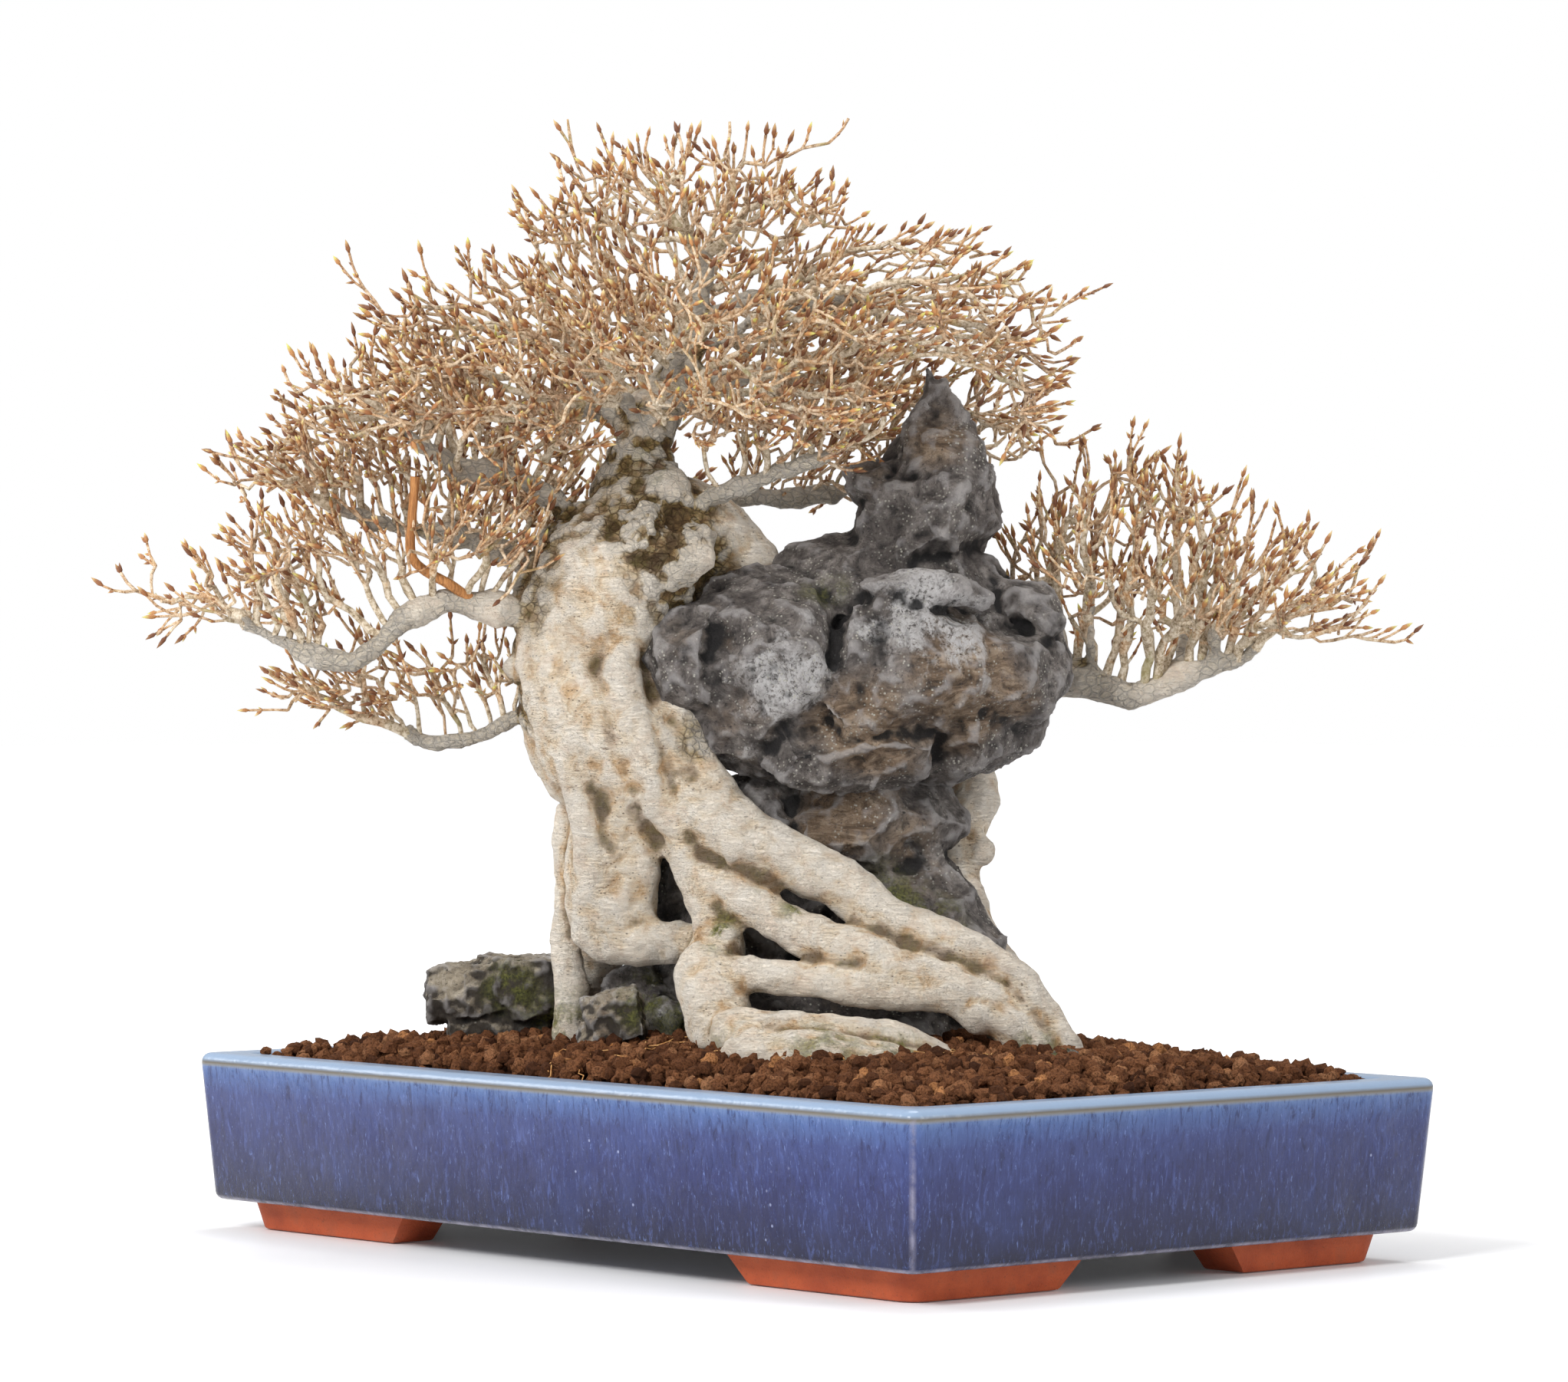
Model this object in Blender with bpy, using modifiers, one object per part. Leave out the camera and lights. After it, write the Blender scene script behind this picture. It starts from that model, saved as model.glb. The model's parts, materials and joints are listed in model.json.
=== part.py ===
"""A deciduous bonsai growing over a rock in a shallow glazed pot, bare of leaves.

Metres, +Z up. The origin is under the middle of the pot, on the surface that its feet stand on.
X runs along the pot's long side. The tree has a frame of its own: right, back and up as seen from its
front, turned about Z against the pot, with its zero height at the top of the pot's rim.
"""

import math
import random

import bmesh
import bpy
from mathutils import Matrix, Vector, kdtree, noise

# ---- the pot -----------------------------------------------------------------------------------
POT_LENGTH = 0.540
POT_WIDTH = 0.360
POT_HEIGHT = 0.091
WALL = 0.010
FLOOR = 0.010
SIDE_LEAN = 0.006            # how far each side leans in from the rim to the floor
CORNER_RADIUS = 0.008
SHOULDER = 0.005             # rounding of the rim's outer edge
LOWER_EDGE = 0.004           # rounding where the sides turn under
LIP_WIDTH = 0.022            # the rim's flat top, measured inwards from the outside
LIP_THICKNESS = 0.009
FOOT_HEIGHT = 0.015
FOOT_INSET = 0.010           # from the body's lower edge to the foot
FOOT_LONG = 0.134            # length of a foot along the long side
FOOT_SHORT = 0.112           # length of a foot along the short side
FOOT_BAND = 0.030            # width of each leg of the L-shaped foot
FOOT_SPLAY = 0.016           # how far the ends of a foot draw in towards the table

# ---- what lies in the pot ----------------------------------------------------------------------
GAP = 0.0003                 # between touching pieces
SOIL_BELOW_RIM = 0.004
MOUND = 0.018                # how far the soil rises towards the middle of the pot
DRAIN_RADIUS = 0.020
DRAIN_SPACING = 0.290        # between the two drainage holes
SCREEN_SIZE = 0.058
SCREEN_CELLS = 4
SCREEN_STRAND = 0.0015           # thickness and width of the screen's strands
CLIP_WIRE = 0.0008           # radius of the wire that clips a screen down
TIE_WIRE = 0.00125           # radius of the wire that ties the roots down
TIE_HOLE = 0.003
TIE_SPAN = 0.032             # between the two holes of one tie wire

# ---- the tree ----------------------------------------------------------------------------------
TREE_TURN = math.radians(47.6)
WOOD_CELL = 0.0045           # cell size of the remesh that fuses the roots with the trunk
ROCK_CELL = 0.006
CUT_GAP = 0.0010             # left round whatever is cut to fit a neighbour
TWIG_RADIUS = 0.0011
COLLAR = 0.3                 # how far up its first span a limb leaves the trunk's collar

# Trunk and roots as chains of (right, back, up, radius).
TRUNK = [(-0.075, 0.000, 0.137, 0.036), (-0.083, 0.000, 0.154, 0.041), (-0.098, 0.000, 0.167, 0.042),
         (-0.107, 0.000, 0.189, 0.041), (-0.111, 0.000, 0.210, 0.038), (-0.100, 0.000, 0.236, 0.045),
         (-0.092, 0.000, 0.256, 0.044), (-0.086, 0.000, 0.276, 0.031), (-0.084, 0.002, 0.295, 0.020),
         (-0.083, 0.003, 0.311, 0.017)]
ROOTS = {
    "burl": [(-0.070, -0.022, 0.262, 0.018), (-0.055, -0.030, 0.254, 0.018)],
    "left_column": [(-0.083, 0.000, 0.145, 0.032), (-0.095, -0.004, 0.110, 0.024),
                    (-0.096, -0.004, 0.085, 0.0235), (-0.098, -0.004, 0.069, 0.022)],
    "cross_root": [(-0.106, -0.010, 0.066, 0.0115), (-0.085, -0.013, 0.064, 0.0105),
                   (-0.060, -0.018, 0.062, 0.0100), (-0.044, -0.030, 0.062, 0.0110)],
    "edge_root": [(-0.116, 0.012, 0.130, 0.0095), (-0.1195, 0.010, 0.090, 0.0075),
                  (-0.120, 0.005, 0.060, 0.0085), (-0.118, 0.000, 0.030, 0.0100),
                  (-0.120, -0.002, -0.012, 0.0090)],
    "great_root": [(-0.062, -0.015, 0.139, 0.021), (-0.038, -0.030, 0.121, 0.0170),
                   (-0.016, -0.040, 0.109, 0.0155), (0.005, -0.047, 0.100, 0.0145),
                   (0.023, -0.052, 0.090, 0.0130), (0.040, -0.057, 0.076, 0.0130),
                   (0.066, -0.062, 0.065, 0.0125), (0.087, -0.066, 0.056, 0.0125),
                   (0.104, -0.070, 0.043, 0.0130), (0.121, -0.073, 0.023, 0.0110),
                   (0.136, -0.076, 0.002, 0.0090), (0.146, -0.078, -0.014, 0.0080),
                   (0.166, -0.084, -0.026, 0.0070)],
    "drop_root": [(-0.058, -0.020, 0.115, 0.0150), (-0.053, -0.028, 0.096, 0.0120),
                  (-0.047, -0.036, 0.079, 0.0110), (-0.042, -0.042, 0.063, 0.0155),
                  (-0.047, -0.052, 0.047, 0.0175), (-0.043, -0.064, 0.032, 0.0170),
                  (-0.038, -0.076, 0.010, 0.0160)],
    "plate_root": [(-0.038, -0.080, 0.019, 0.0150), (-0.020, -0.094, 0.017, 0.0170),
                   (0.005, -0.100, 0.015, 0.0170), (0.032, -0.100, 0.013, 0.0160),
                   (0.058, -0.097, 0.011, 0.0130), (0.074, -0.094, 0.008, 0.0095)],
    "middle_root": [(-0.050, -0.030, 0.092, 0.0130), (-0.030, -0.045, 0.086, 0.0120),
                    (-0.014, -0.055, 0.076, 0.0115), (0.002, -0.062, 0.068, 0.0115),
                    (0.020, -0.068, 0.062, 0.0130), (0.042, -0.072, 0.053, 0.0135),
                    (0.066, -0.076, 0.046, 0.0130), (0.087, -0.079, 0.037, 0.0135),
                    (0.102, -0.081, 0.026, 0.0130), (0.114, -0.082, 0.010, 0.0110),
                    (0.122, -0.083, -0.010, 0.0090)],
    "lower_root": [(-0.040, -0.052, 0.050, 0.0100), (-0.022, -0.068, 0.049, 0.0090),
                   (0.002, -0.075, 0.047, 0.0095), (0.027, -0.078, 0.044, 0.0100),
                   (0.052, -0.078, 0.044, 0.0110)],
    "far_leg": [(-0.085, 0.030, 0.175, 0.0220), (-0.050, 0.060, 0.178, 0.0170),
                (0.000, 0.072, 0.174, 0.0150), (0.055, 0.062, 0.162, 0.0140),
                (0.088, 0.040, 0.140, 0.0145), (0.080, 0.030, 0.119, 0.0140),
                (0.077, 0.025, 0.099, 0.0135), (0.082, 0.018, 0.081, 0.0125),
                (0.092, 0.006, 0.061, 0.0120), (0.102, -0.010, 0.038, 0.0120),
                (0.106, -0.020, 0.000, 0.0100)],
    "back_left_root": [(-0.092, 0.025, 0.125, 0.0210), (-0.104, 0.052, 0.070, 0.0165),
                       (-0.118, 0.074, 0.020, 0.0140), (-0.130, 0.090, -0.020, 0.0090)],
    "back_middle_root": [(-0.065, 0.035, 0.150, 0.0200), (-0.045, 0.074, 0.090, 0.0160),
                         (-0.035, 0.098, 0.030, 0.0145), (-0.032, 0.110, -0.008, 0.0110),
                         (-0.026, 0.130, -0.022, 0.0085)],
}
TIED_ROOTS = ["great_root", "back_middle_root"]    # the wires cross these near their buried ends

# Limbs: the axis as (right, back, up) from inside the trunk outwards, its first and last radius, the pads
# of twigs it carries, each as centre, half sizes and the number of twig ends, and its outermost tips.
LIMBS = {
    "crown": {
        "axis": [(-0.083, 0.003, 0.302), (-0.081, 0.004, 0.322), (-0.070, 0.006, 0.340),
                 (-0.060, 0.010, 0.362), (-0.054, 0.008, 0.388), (-0.050, 0.004, 0.412)],
        "radii": (0.0165, 0.0045),
        "pads": [((-0.055, 0.000, 0.405), (0.095, 0.090, 0.070), 330),
                 ((-0.155, -0.010, 0.362), (0.068, 0.080, 0.048), 190),
                 ((0.050, -0.015, 0.372), (0.078, 0.080, 0.062), 240),
                 ((-0.055, -0.095, 0.365), (0.100, 0.050, 0.048), 160),
                 ((-0.050, 0.100, 0.370), (0.100, 0.050, 0.052), 150)],
        "tips": [(-0.121, 0.000, 0.472), (-0.039, 0.010, 0.472), (0.010, -0.010, 0.467),
                 (-0.222, -0.010, 0.391), (0.133, -0.015, 0.387)],
    },
    "right_front_limb": {
        "axis": [(-0.072, -0.008, 0.272), (-0.046, -0.018, 0.286), (-0.020, -0.024, 0.298),
                 (0.008, -0.030, 0.306), (0.036, -0.036, 0.320)],
        "radii": (0.0075, 0.0032),
        "pads": [((0.055, -0.035, 0.335), (0.060, 0.055, 0.026), 110)],
    },
    "right_back_limb": {
        "axis": [(-0.075, 0.018, 0.274), (-0.040, 0.034, 0.288), (-0.012, 0.044, 0.289),
                 (0.022, 0.054, 0.292), (0.060, 0.060, 0.302)],
        "radii": (0.0080, 0.0032),
        "pads": [((0.075, 0.060, 0.322), (0.060, 0.050, 0.030), 90),
                 ((0.016, 0.055, 0.272), (0.026, 0.022, 0.012), 16)],
    },
    "far_right_limb": {
        "axis": [(-0.070, 0.020, 0.262), (-0.030, 0.040, 0.248), (0.004, 0.064, 0.224),
                 (0.055, 0.078, 0.206), (0.100, 0.070, 0.201), (0.127, 0.060, 0.199),
                 (0.147, 0.052, 0.193), (0.168, 0.048, 0.188), (0.187, 0.048, 0.193),
                 (0.204, 0.048, 0.201), (0.228, 0.047, 0.206)],
        "radii": (0.0125, 0.0036),
        "pads": [((0.165, 0.045, 0.262), (0.062, 0.070, 0.046), 170),
                 ((0.228, 0.045, 0.236), (0.060, 0.055, 0.036), 150)],
        "tips": [(0.303, 0.046, 0.215), (0.285, 0.050, 0.254), (0.115, 0.050, 0.324)],
    },
    "upper_left_limb": {
        "axis": [(-0.100, 0.000, 0.262), (-0.128, -0.006, 0.286), (-0.152, -0.010, 0.296),
                 (-0.172, -0.015, 0.299), (-0.196, -0.020, 0.314)],
        "radii": (0.0095, 0.0036),
        "pads": [((-0.205, -0.020, 0.330), (0.050, 0.060, 0.034), 120)],
    },
    "middle_left_limb": {
        "axis": [(-0.110, 0.008, 0.240), (-0.146, 0.014, 0.256), (-0.170, 0.015, 0.267),
                 (-0.196, 0.013, 0.270), (-0.220, 0.008, 0.274), (-0.250, 0.000, 0.287)],
        "radii": (0.0105, 0.0034),
        "pads": [((-0.250, 0.000, 0.300), (0.052, 0.055, 0.026), 110)],
    },
    "long_left_limb": {
        "axis": [(-0.115, -0.010, 0.226), (-0.152, -0.016, 0.230), (-0.180, -0.022, 0.233),
                 (-0.202, -0.026, 0.224), (-0.227, -0.030, 0.202), (-0.246, -0.029, 0.206),
                 (-0.280, -0.020, 0.221)],
        "radii": (0.0115, 0.0034),
        "pads": [((-0.280, -0.008, 0.232), (0.052, 0.040, 0.020), 110),
                 ((-0.240, -0.026, 0.256), (0.052, 0.042, 0.022), 90)],
        "tips": [(-0.345, 0.000, 0.239), (-0.330, 0.010, 0.252)],
    },
    "low_left_limb": {
        "axis": [(-0.118, 0.008, 0.180), (-0.146, 0.012, 0.174), (-0.165, 0.016, 0.166),
                 (-0.188, 0.019, 0.161), (-0.216, 0.020, 0.172), (-0.245, 0.020, 0.184)],
        "radii": (0.0062, 0.0026),
        "pads": [((-0.212, 0.020, 0.188), (0.056, 0.042, 0.022), 70)],
    },
    "back_limb": {
        "axis": [(-0.098, 0.025, 0.238), (-0.108, 0.056, 0.252), (-0.114, 0.084, 0.262),
                 (-0.118, 0.112, 0.272)],
        "radii": (0.0100, 0.0036),
        "pads": [((-0.115, 0.125, 0.288), (0.062, 0.050, 0.030), 100)],
    },
}
STEP = 0.0075                # length of one growth step of a twig
REACH = 0.055
SPENT = 0.0085               # a place this near a twig draws no more growth
TUBES_PER_END = 0.03        # how many of a limb's twigs are solid here, for each of its twig ends

# Boulders: centre, half sizes, turn about up and lean to the right in degrees.
MAIN_ROCK = [((0.058, -0.002, 0.200), (0.062, 0.052, 0.050), 10, 4),
             ((-0.012, -0.014, 0.196), (0.036, 0.044, 0.046), -8, -10),
             ((-0.054, -0.018, 0.205), (0.020, 0.026, 0.032), 0, 12),
             ((0.036, 0.004, 0.238), (0.056, 0.042, 0.026), 4, 4),
             ((0.118, 0.000, 0.236), (0.016, 0.020, 0.015), 20, 25),
             ((0.020, -0.014, 0.158), (0.052, 0.036, 0.020), 0, -4),
             ((0.082, -0.004, 0.168), (0.036, 0.036, 0.026), 0, -24),
             ((0.064, -0.048, 0.240), (0.030, 0.012, 0.012), 4, 6),
             ((0.064, 0.006, 0.292), (0.034, 0.028, 0.034), 15, 0),
             ((0.036, 0.006, 0.292), (0.016, 0.018, 0.016), 0, 0),
             ((0.063, 0.004, 0.322), (0.016, 0.016, 0.024), 10, 6)]
PEDESTAL = [((0.030, 0.004, 0.120), (0.048, 0.036, 0.036), 12, 10),
            ((-0.020, 0.012, 0.090), (0.040, 0.034, 0.050), -20, 0),
            ((0.052, 0.000, 0.066), (0.046, 0.034, 0.040), 0, 18),
            ((0.010, 0.010, 0.020), (0.075, 0.044, 0.036), 8, 0)]
SLAB_STONE = [((-0.164, 0.060, 0.030), (0.034, 0.026, 0.021), 8, -4),
              ((-0.130, 0.052, 0.036), (0.026, 0.024, 0.021), -12, 4),
              ((-0.150, 0.056, 0.004), (0.030, 0.024, 0.018), 0, 0)]
DARK_STONE = [((-0.080, 0.016, 0.022), (0.026, 0.020, 0.026), 20, 8)]
WEDGE_STONE = [((-0.094, -0.030, 0.022), (0.018, 0.014, 0.024), -10, -6)]
TIP_STONE = [((0.128, -0.108, 0.004), (0.013, 0.011, 0.010), 30, 0)]

TREE_TO_POT = Matrix.Translation((0, 0, POT_HEIGHT)) @ Matrix.Rotation(TREE_TURN, 4, "Z")


def tree_point(point):
    return TREE_TO_POT @ Vector(point[:3])


# ---- general helpers ---------------------------------------------------------------------------
def clear_scene():
    for obj in list(bpy.data.objects):
        bpy.data.objects.remove(obj)
    collections = []
    for name in ("bonsai_in_pot", "cutters"):
        collection = bpy.data.collections.new(name)
        bpy.context.scene.collection.children.link(collection)
        collections.append(collection)
    return collections


PARTS, CUTTERS = clear_scene()


def material(name, colour, roughness, metallic=0.0):
    made = bpy.data.materials.get(name) or bpy.data.materials.new(name)
    made.use_nodes = True
    shader = made.node_tree.nodes["Principled BSDF"]
    shader.inputs["Base Color"].default_value = (*colour, 1)
    shader.inputs["Roughness"].default_value = roughness
    shader.inputs["Metallic"].default_value = metallic
    return made


def place(name, mesh, finish=None):
    """An object of this mesh: a part if it has a finish, and otherwise a hidden cutter."""
    obj = bpy.data.objects.new(name, mesh)
    (PARTS if finish else CUTTERS).objects.link(obj)
    if finish:
        obj.data.materials.clear()
        obj.data.materials.append(finish)
    else:
        obj.hide_render = True
        obj.display_type = "WIRE"
    return obj


def evaluated_mesh(obj):
    bpy.context.view_layer.update()
    graph = bpy.context.evaluated_depsgraph_get()
    return bpy.data.meshes.new_from_object(obj.evaluated_get(graph))


def largest_island(mesh):
    """Deletes all but the largest connected piece, so that a cut leaves no crumbs."""
    bm = bmesh.new()
    bm.from_mesh(mesh)
    unseen, islands = set(bm.verts), []
    while unseen:
        front, island = [unseen.pop()], []
        while front:
            vert = front.pop()
            island.append(vert)
            for edge in vert.link_edges:
                other = edge.other_vert(vert)
                if other in unseen:
                    unseen.remove(other)
                    front.append(other)
        islands.append(island)
    islands.sort(key=len)
    bmesh.ops.delete(bm, geom=[v for island in islands[:-1] for v in island], context="VERTS")
    bm.to_mesh(mesh)
    bm.free()


def finished(name, draft, finish, smooth_angle=40):
    """The draft with its modifiers applied and crumbs removed, as a part."""
    mesh = evaluated_mesh(draft)
    largest_island(mesh)
    part = place(name, mesh, finish)
    mesh.shade_smooth()
    mesh.set_sharp_from_angle(angle=math.radians(smooth_angle))
    return part


def boolean(obj, other, operation="DIFFERENCE"):
    modifier = obj.modifiers.new(f"{operation.lower()} {other.name}", "BOOLEAN")
    modifier.operation = operation
    modifier.object = other
    modifier.use_self = other.name.endswith("_room")     # a swollen shape may cross itself in its creases


def swollen(name, mesh, by=CUT_GAP):
    """A cutter of this shape, a little larger all round."""
    cutter = place(f"{name}_room", mesh)
    grow = cutter.modifiers.new("clearance", "DISPLACE")
    grow.strength = by
    grow.mid_level = 0.0
    return cutter


def tubes_mesh(chains, sides=6):
    """Closed tubes along chains of (point, radius), in one mesh."""
    curve = bpy.data.curves.new("tubes", "CURVE")
    curve.dimensions = "3D"
    curve.bevel_depth = 1.0
    curve.bevel_resolution = (sides - 4) // 2
    curve.use_fill_caps = True
    for chain in chains:
        spline = curve.splines.new("POLY")
        spline.points.add(len(chain) - 1)
        for target, (point, radius) in zip(spline.points, chain):
            target.co = (*point, 1)
            target.radius = radius
    holder = place("tubes", curve)
    mesh = evaluated_mesh(holder)
    bpy.data.objects.remove(holder)
    bm = bmesh.new()
    bm.from_mesh(mesh)
    bmesh.ops.remove_doubles(bm, verts=bm.verts, dist=1e-6)
    bm.to_mesh(mesh)
    bm.free()
    return mesh


def box_mesh(low, high, bottom_inset=(0, 0), edge_radii=()):
    """A box whose bottom draws in by bottom_inset. edge_radii: (which edges, radius, segments)."""
    bm = bmesh.new()
    bmesh.ops.create_cube(bm, size=1)
    low, high = Vector(low), Vector(high)
    for vert in bm.verts:
        share = vert.co + Vector((0.5, 0.5, 0.5))
        inset = Vector((*bottom_inset, 0)) * (1 - share.z)
        side = Vector((1 if share.x < 0.5 else -1, 1 if share.y < 0.5 else -1, 0))
        vert.co = Vector(low[i] + (high[i] - low[i]) * share[i] + inset[i] * side[i] for i in range(3))
    for which, radius, segments in edge_radii:
        edges = [e for e in bm.edges if which(e, low, high)]
        bmesh.ops.bevel(bm, geom=edges, offset=radius, segments=segments, affect="EDGES", profile=0.5)
    mesh = bpy.data.meshes.new("box")
    bm.to_mesh(mesh)
    bm.free()
    return mesh


def upright(edge, low, high):
    a, b = (v.co for v in edge.verts)
    return abs(a.z - b.z) > 0.5 * (high.z - low.z)


def at_top(edge, low, high):
    return all(abs(v.co.z - high.z) < 1e-5 for v in edge.verts)


def at_bottom(edge, low, high):
    return all(abs(v.co.z - low.z) < 1e-5 for v in edge.verts)


def cylinder(name, centre, radius, low, high, segments=24):
    bm = bmesh.new()
    bmesh.ops.create_cone(bm, cap_ends=True, segments=segments, radius1=radius, radius2=radius,
                          depth=high - low)
    bmesh.ops.translate(bm, verts=bm.verts, vec=(centre[0], centre[1], (low + high) / 2))
    mesh = bpy.data.meshes.new(name)
    bm.to_mesh(mesh)
    bm.free()
    return place(name, mesh)


# ---- pot ---------------------------------------------------------------------------------------
def foot_cutters():
    """The two legs of each of the four L-shaped corner feet."""
    half_x = POT_LENGTH / 2 - SIDE_LEAN - FOOT_INSET
    half_y = POT_WIDTH / 2 - SIDE_LEAN - FOOT_INSET
    top = FOOT_HEIGHT + FLOOR / 2
    legs = []
    for sx in (-1, 1):
        for sy in (-1, 1):
            for length, band in ((FOOT_LONG, FOOT_BAND), (FOOT_BAND, FOOT_SHORT)):
                xs = sorted((sx * half_x, sx * (half_x - length)))
                ys = sorted((sy * half_y, sy * (half_y - band)))
                draw = FOOT_SPLAY * top / FOOT_HEIGHT
                inset = (draw, 0.004) if length > band else (0.004, draw)
                mesh = box_mesh((xs[0], ys[0], 0), (xs[1], ys[1], top), inset)
                corner = Vector((sx * (half_x - 0.004), sy * (half_y - 0.004), 0))
                for vert in mesh.vertices:          # the outer corner stays under the pot's corner
                    if vert.co.z < top / 2:
                        if vert.co.x * sx > abs(sx * half_x) - draw - 1e-6:
                            vert.co.x = corner.x
                        if vert.co.y * sy > abs(sy * half_y) - draw - 1e-6:
                            vert.co.y = corner.y
                legs.append(place(f"foot_{sx}_{sy}_{length > band}", mesh))
    return legs


def tie_crossings():
    """Where each tie wire crosses its root: the point, the root's upright half size and the way across."""
    crossings = []
    for name in TIED_ROOTS:
        chain = ROOTS[name]
        before, end = tree_point(chain[-2]), tree_point(chain[-1])
        heading = (end - before).normalized()
        across = Vector((-heading.y, heading.x, 0)).normalized()
        upright_half = chain[-2][3] / math.hypot(heading.x, heading.y)
        crossings.append((before.lerp(end, 0.7), upright_half, across))
    return crossings


def drain_centres():
    return [(side * DRAIN_SPACING / 2, 0.0) for side in (-1, 1)]


def make_pot(finish):
    lost = SIDE_LEAN * SHOULDER / (POT_HEIGHT - FOOT_HEIGHT)    # by the shoulder's rounding
    half_x, half_y = POT_LENGTH / 2 + lost, POT_WIDTH / 2 + lost
    body = place("pot_draft", box_mesh(
        (-half_x, -half_y, FOOT_HEIGHT), (half_x, half_y, POT_HEIGHT), (SIDE_LEAN, SIDE_LEAN),
        [(upright, CORNER_RADIUS, 3), (at_top, SHOULDER, 2), (at_bottom, LOWER_EDGE, 1)]))
    for leg in foot_cutters():
        boolean(body, leg, "UNION")
    inner_x, inner_y = half_x - WALL, half_y - WALL
    cavity = place("cavity", box_mesh(
        (-inner_x, -inner_y, FOOT_HEIGHT + FLOOR), (inner_x, inner_y, POT_HEIGHT - LIP_THICKNESS),
        (SIDE_LEAN, SIDE_LEAN), [(upright, CORNER_RADIUS, 3)]))
    mouth = place("mouth", box_mesh(
        (LIP_WIDTH - half_x, LIP_WIDTH - half_y, POT_HEIGHT - LIP_THICKNESS - 0.001),
        (half_x - LIP_WIDTH, half_y - LIP_WIDTH, POT_HEIGHT + 0.01), (0, 0),
        [(upright, CORNER_RADIUS, 3)]))
    boolean(body, cavity)
    boolean(body, mouth)
    for i, centre in enumerate(drain_centres()):
        boolean(body, cylinder(f"drain_{i}", centre, DRAIN_RADIUS, 0, FOOT_HEIGHT + 2 * FLOOR))
    for i, (point, _, across) in enumerate(tie_crossings()):
        for side in (-1, 1):
            hole = point + across * side * TIE_SPAN / 2
            boolean(body, cylinder(f"tie_hole_{i}_{side}", hole, TIE_HOLE, 0,
                                   FOOT_HEIGHT + 2 * FLOOR, 12))
    return finished("pot", body, finish, 30)


# ---- screens, clips and tie wires --------------------------------------------------------------
def make_screens(finish):
    low = FOOT_HEIGHT + FLOOR + GAP
    cell = SCREEN_SIZE / SCREEN_CELLS
    strand = SCREEN_STRAND / 2
    stops = [-SCREEN_SIZE / 2 - strand]
    for i in range(SCREEN_CELLS):
        stops += [-SCREEN_SIZE / 2 + i * cell + strand, -SCREEN_SIZE / 2 + (i + 1) * cell - strand]
    stops.append(SCREEN_SIZE / 2 + strand)
    screens = []
    for i, centre in enumerate(drain_centres()):
        bm = bmesh.new()
        verts = [[bm.verts.new((centre[0] + x, centre[1] + y, low)) for y in stops] for x in stops]
        for row in range(len(stops) - 1):
            for column in range(len(stops) - 1):
                if not (row % 2 and column % 2):
                    bm.faces.new((verts[row][column], verts[row + 1][column],
                                  verts[row + 1][column + 1], verts[row][column + 1]))
        mesh = bpy.data.meshes.new("screen")
        bm.to_mesh(mesh)
        bm.free()
        sheet = place(f"screen_sheet_{i + 1}", mesh)
        thicken = sheet.modifiers.new("thicken", "SOLIDIFY")
        thicken.thickness = SCREEN_STRAND
        thicken.offset = 1
        screens.append(place(f"drainage_screen_{i + 1}", evaluated_mesh(sheet), finish))
    return screens


def screen_top():
    return FOOT_HEIGHT + FLOOR + GAP + SCREEN_STRAND


def wire_part(name, points, radius, finish):
    mesh = tubes_mesh([[(p, radius) for p in points]], 6)
    part = place(name, mesh, finish)
    mesh.shade_smooth()
    return part


def make_clips(finish):
    """Each clip is a staple over its screen, down through two of its cells, bent out under the floor."""
    cell = SCREEN_SIZE / SCREEN_CELLS
    leg = 0.75 * cell
    over = screen_top() + 1.6 * CLIP_WIRE + GAP
    under = FOOT_HEIGHT - CLIP_WIRE - GAP
    clips = []
    for i, (x, y) in enumerate(drain_centres()):
        side = [(leg - 0.003, over), (leg - 0.001, over - 0.0004), (leg, over - 0.0025),
                (leg, under + 0.003), (leg + 0.001, under + 0.0006), (leg + 0.003, under),
                (DRAIN_RADIUS + 0.008, under)]
        profile = [(-a, z) for a, z in reversed(side)] + side
        points = [(x + a, y + cell / 2, z) for a, z in profile]
        clips.append(wire_part(f"screen_clip_{i + 1}", points, CLIP_WIRE, finish))
    return clips


def make_tie_wires(finish):
    """Each wire runs under the floor between two holes and arches over a buried root."""
    under = FOOT_HEIGHT - TIE_WIRE - GAP
    wires = []
    for i, (point, upright_half, across) in enumerate(tie_crossings()):
        half = TIE_SPAN / 2
        rise = upright_half + 0.002 + TIE_WIRE
        bow = [(half, under + 0.004)]
        bow += [(half, FOOT_HEIGHT + FLOOR + 0.004)]
        crest = point.z + rise
        for turn in range(1, 8):
            angle = math.pi * turn / 8
            bow.append((half * math.cos(angle), crest - (half - half * math.sin(angle)) * 0.9))
        bow += [(-half, FOOT_HEIGHT + FLOOR + 0.004), (-half, under + 0.004)]
        bow += [(-half + 0.001, under + 0.001), (-half + 0.004, under)]
        bow += [(half * 0.1, under)]
        bow = [(half * 0.3, under), (half - 0.004, under), (half - 0.001, under + 0.001)] + bow[:-1]
        bow.append((-half * 0.3, under))
        points = [(point.x + across.x * a, point.y + across.y * a, z) for a, z in bow]
        wires.append(wire_part(f"tie_wire_{i + 1}", points, TIE_WIRE, finish))
    return wires


# ---- trunk and roots ---------------------------------------------------------------------------
def limb_radius(limb, share):
    first, last = limb["radii"]
    return first + (last - first) * share


def collar_plane(limb):
    """Point, heading and radius where a limb leaves its collar on the trunk."""
    a, b = (tree_point(p) for p in limb["axis"][:2])
    share = COLLAR / (len(limb["axis"]) - 1)
    return a.lerp(b, 1 - COLLAR / 2), (b - a).normalized(), limb_radius(limb, share)


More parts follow.
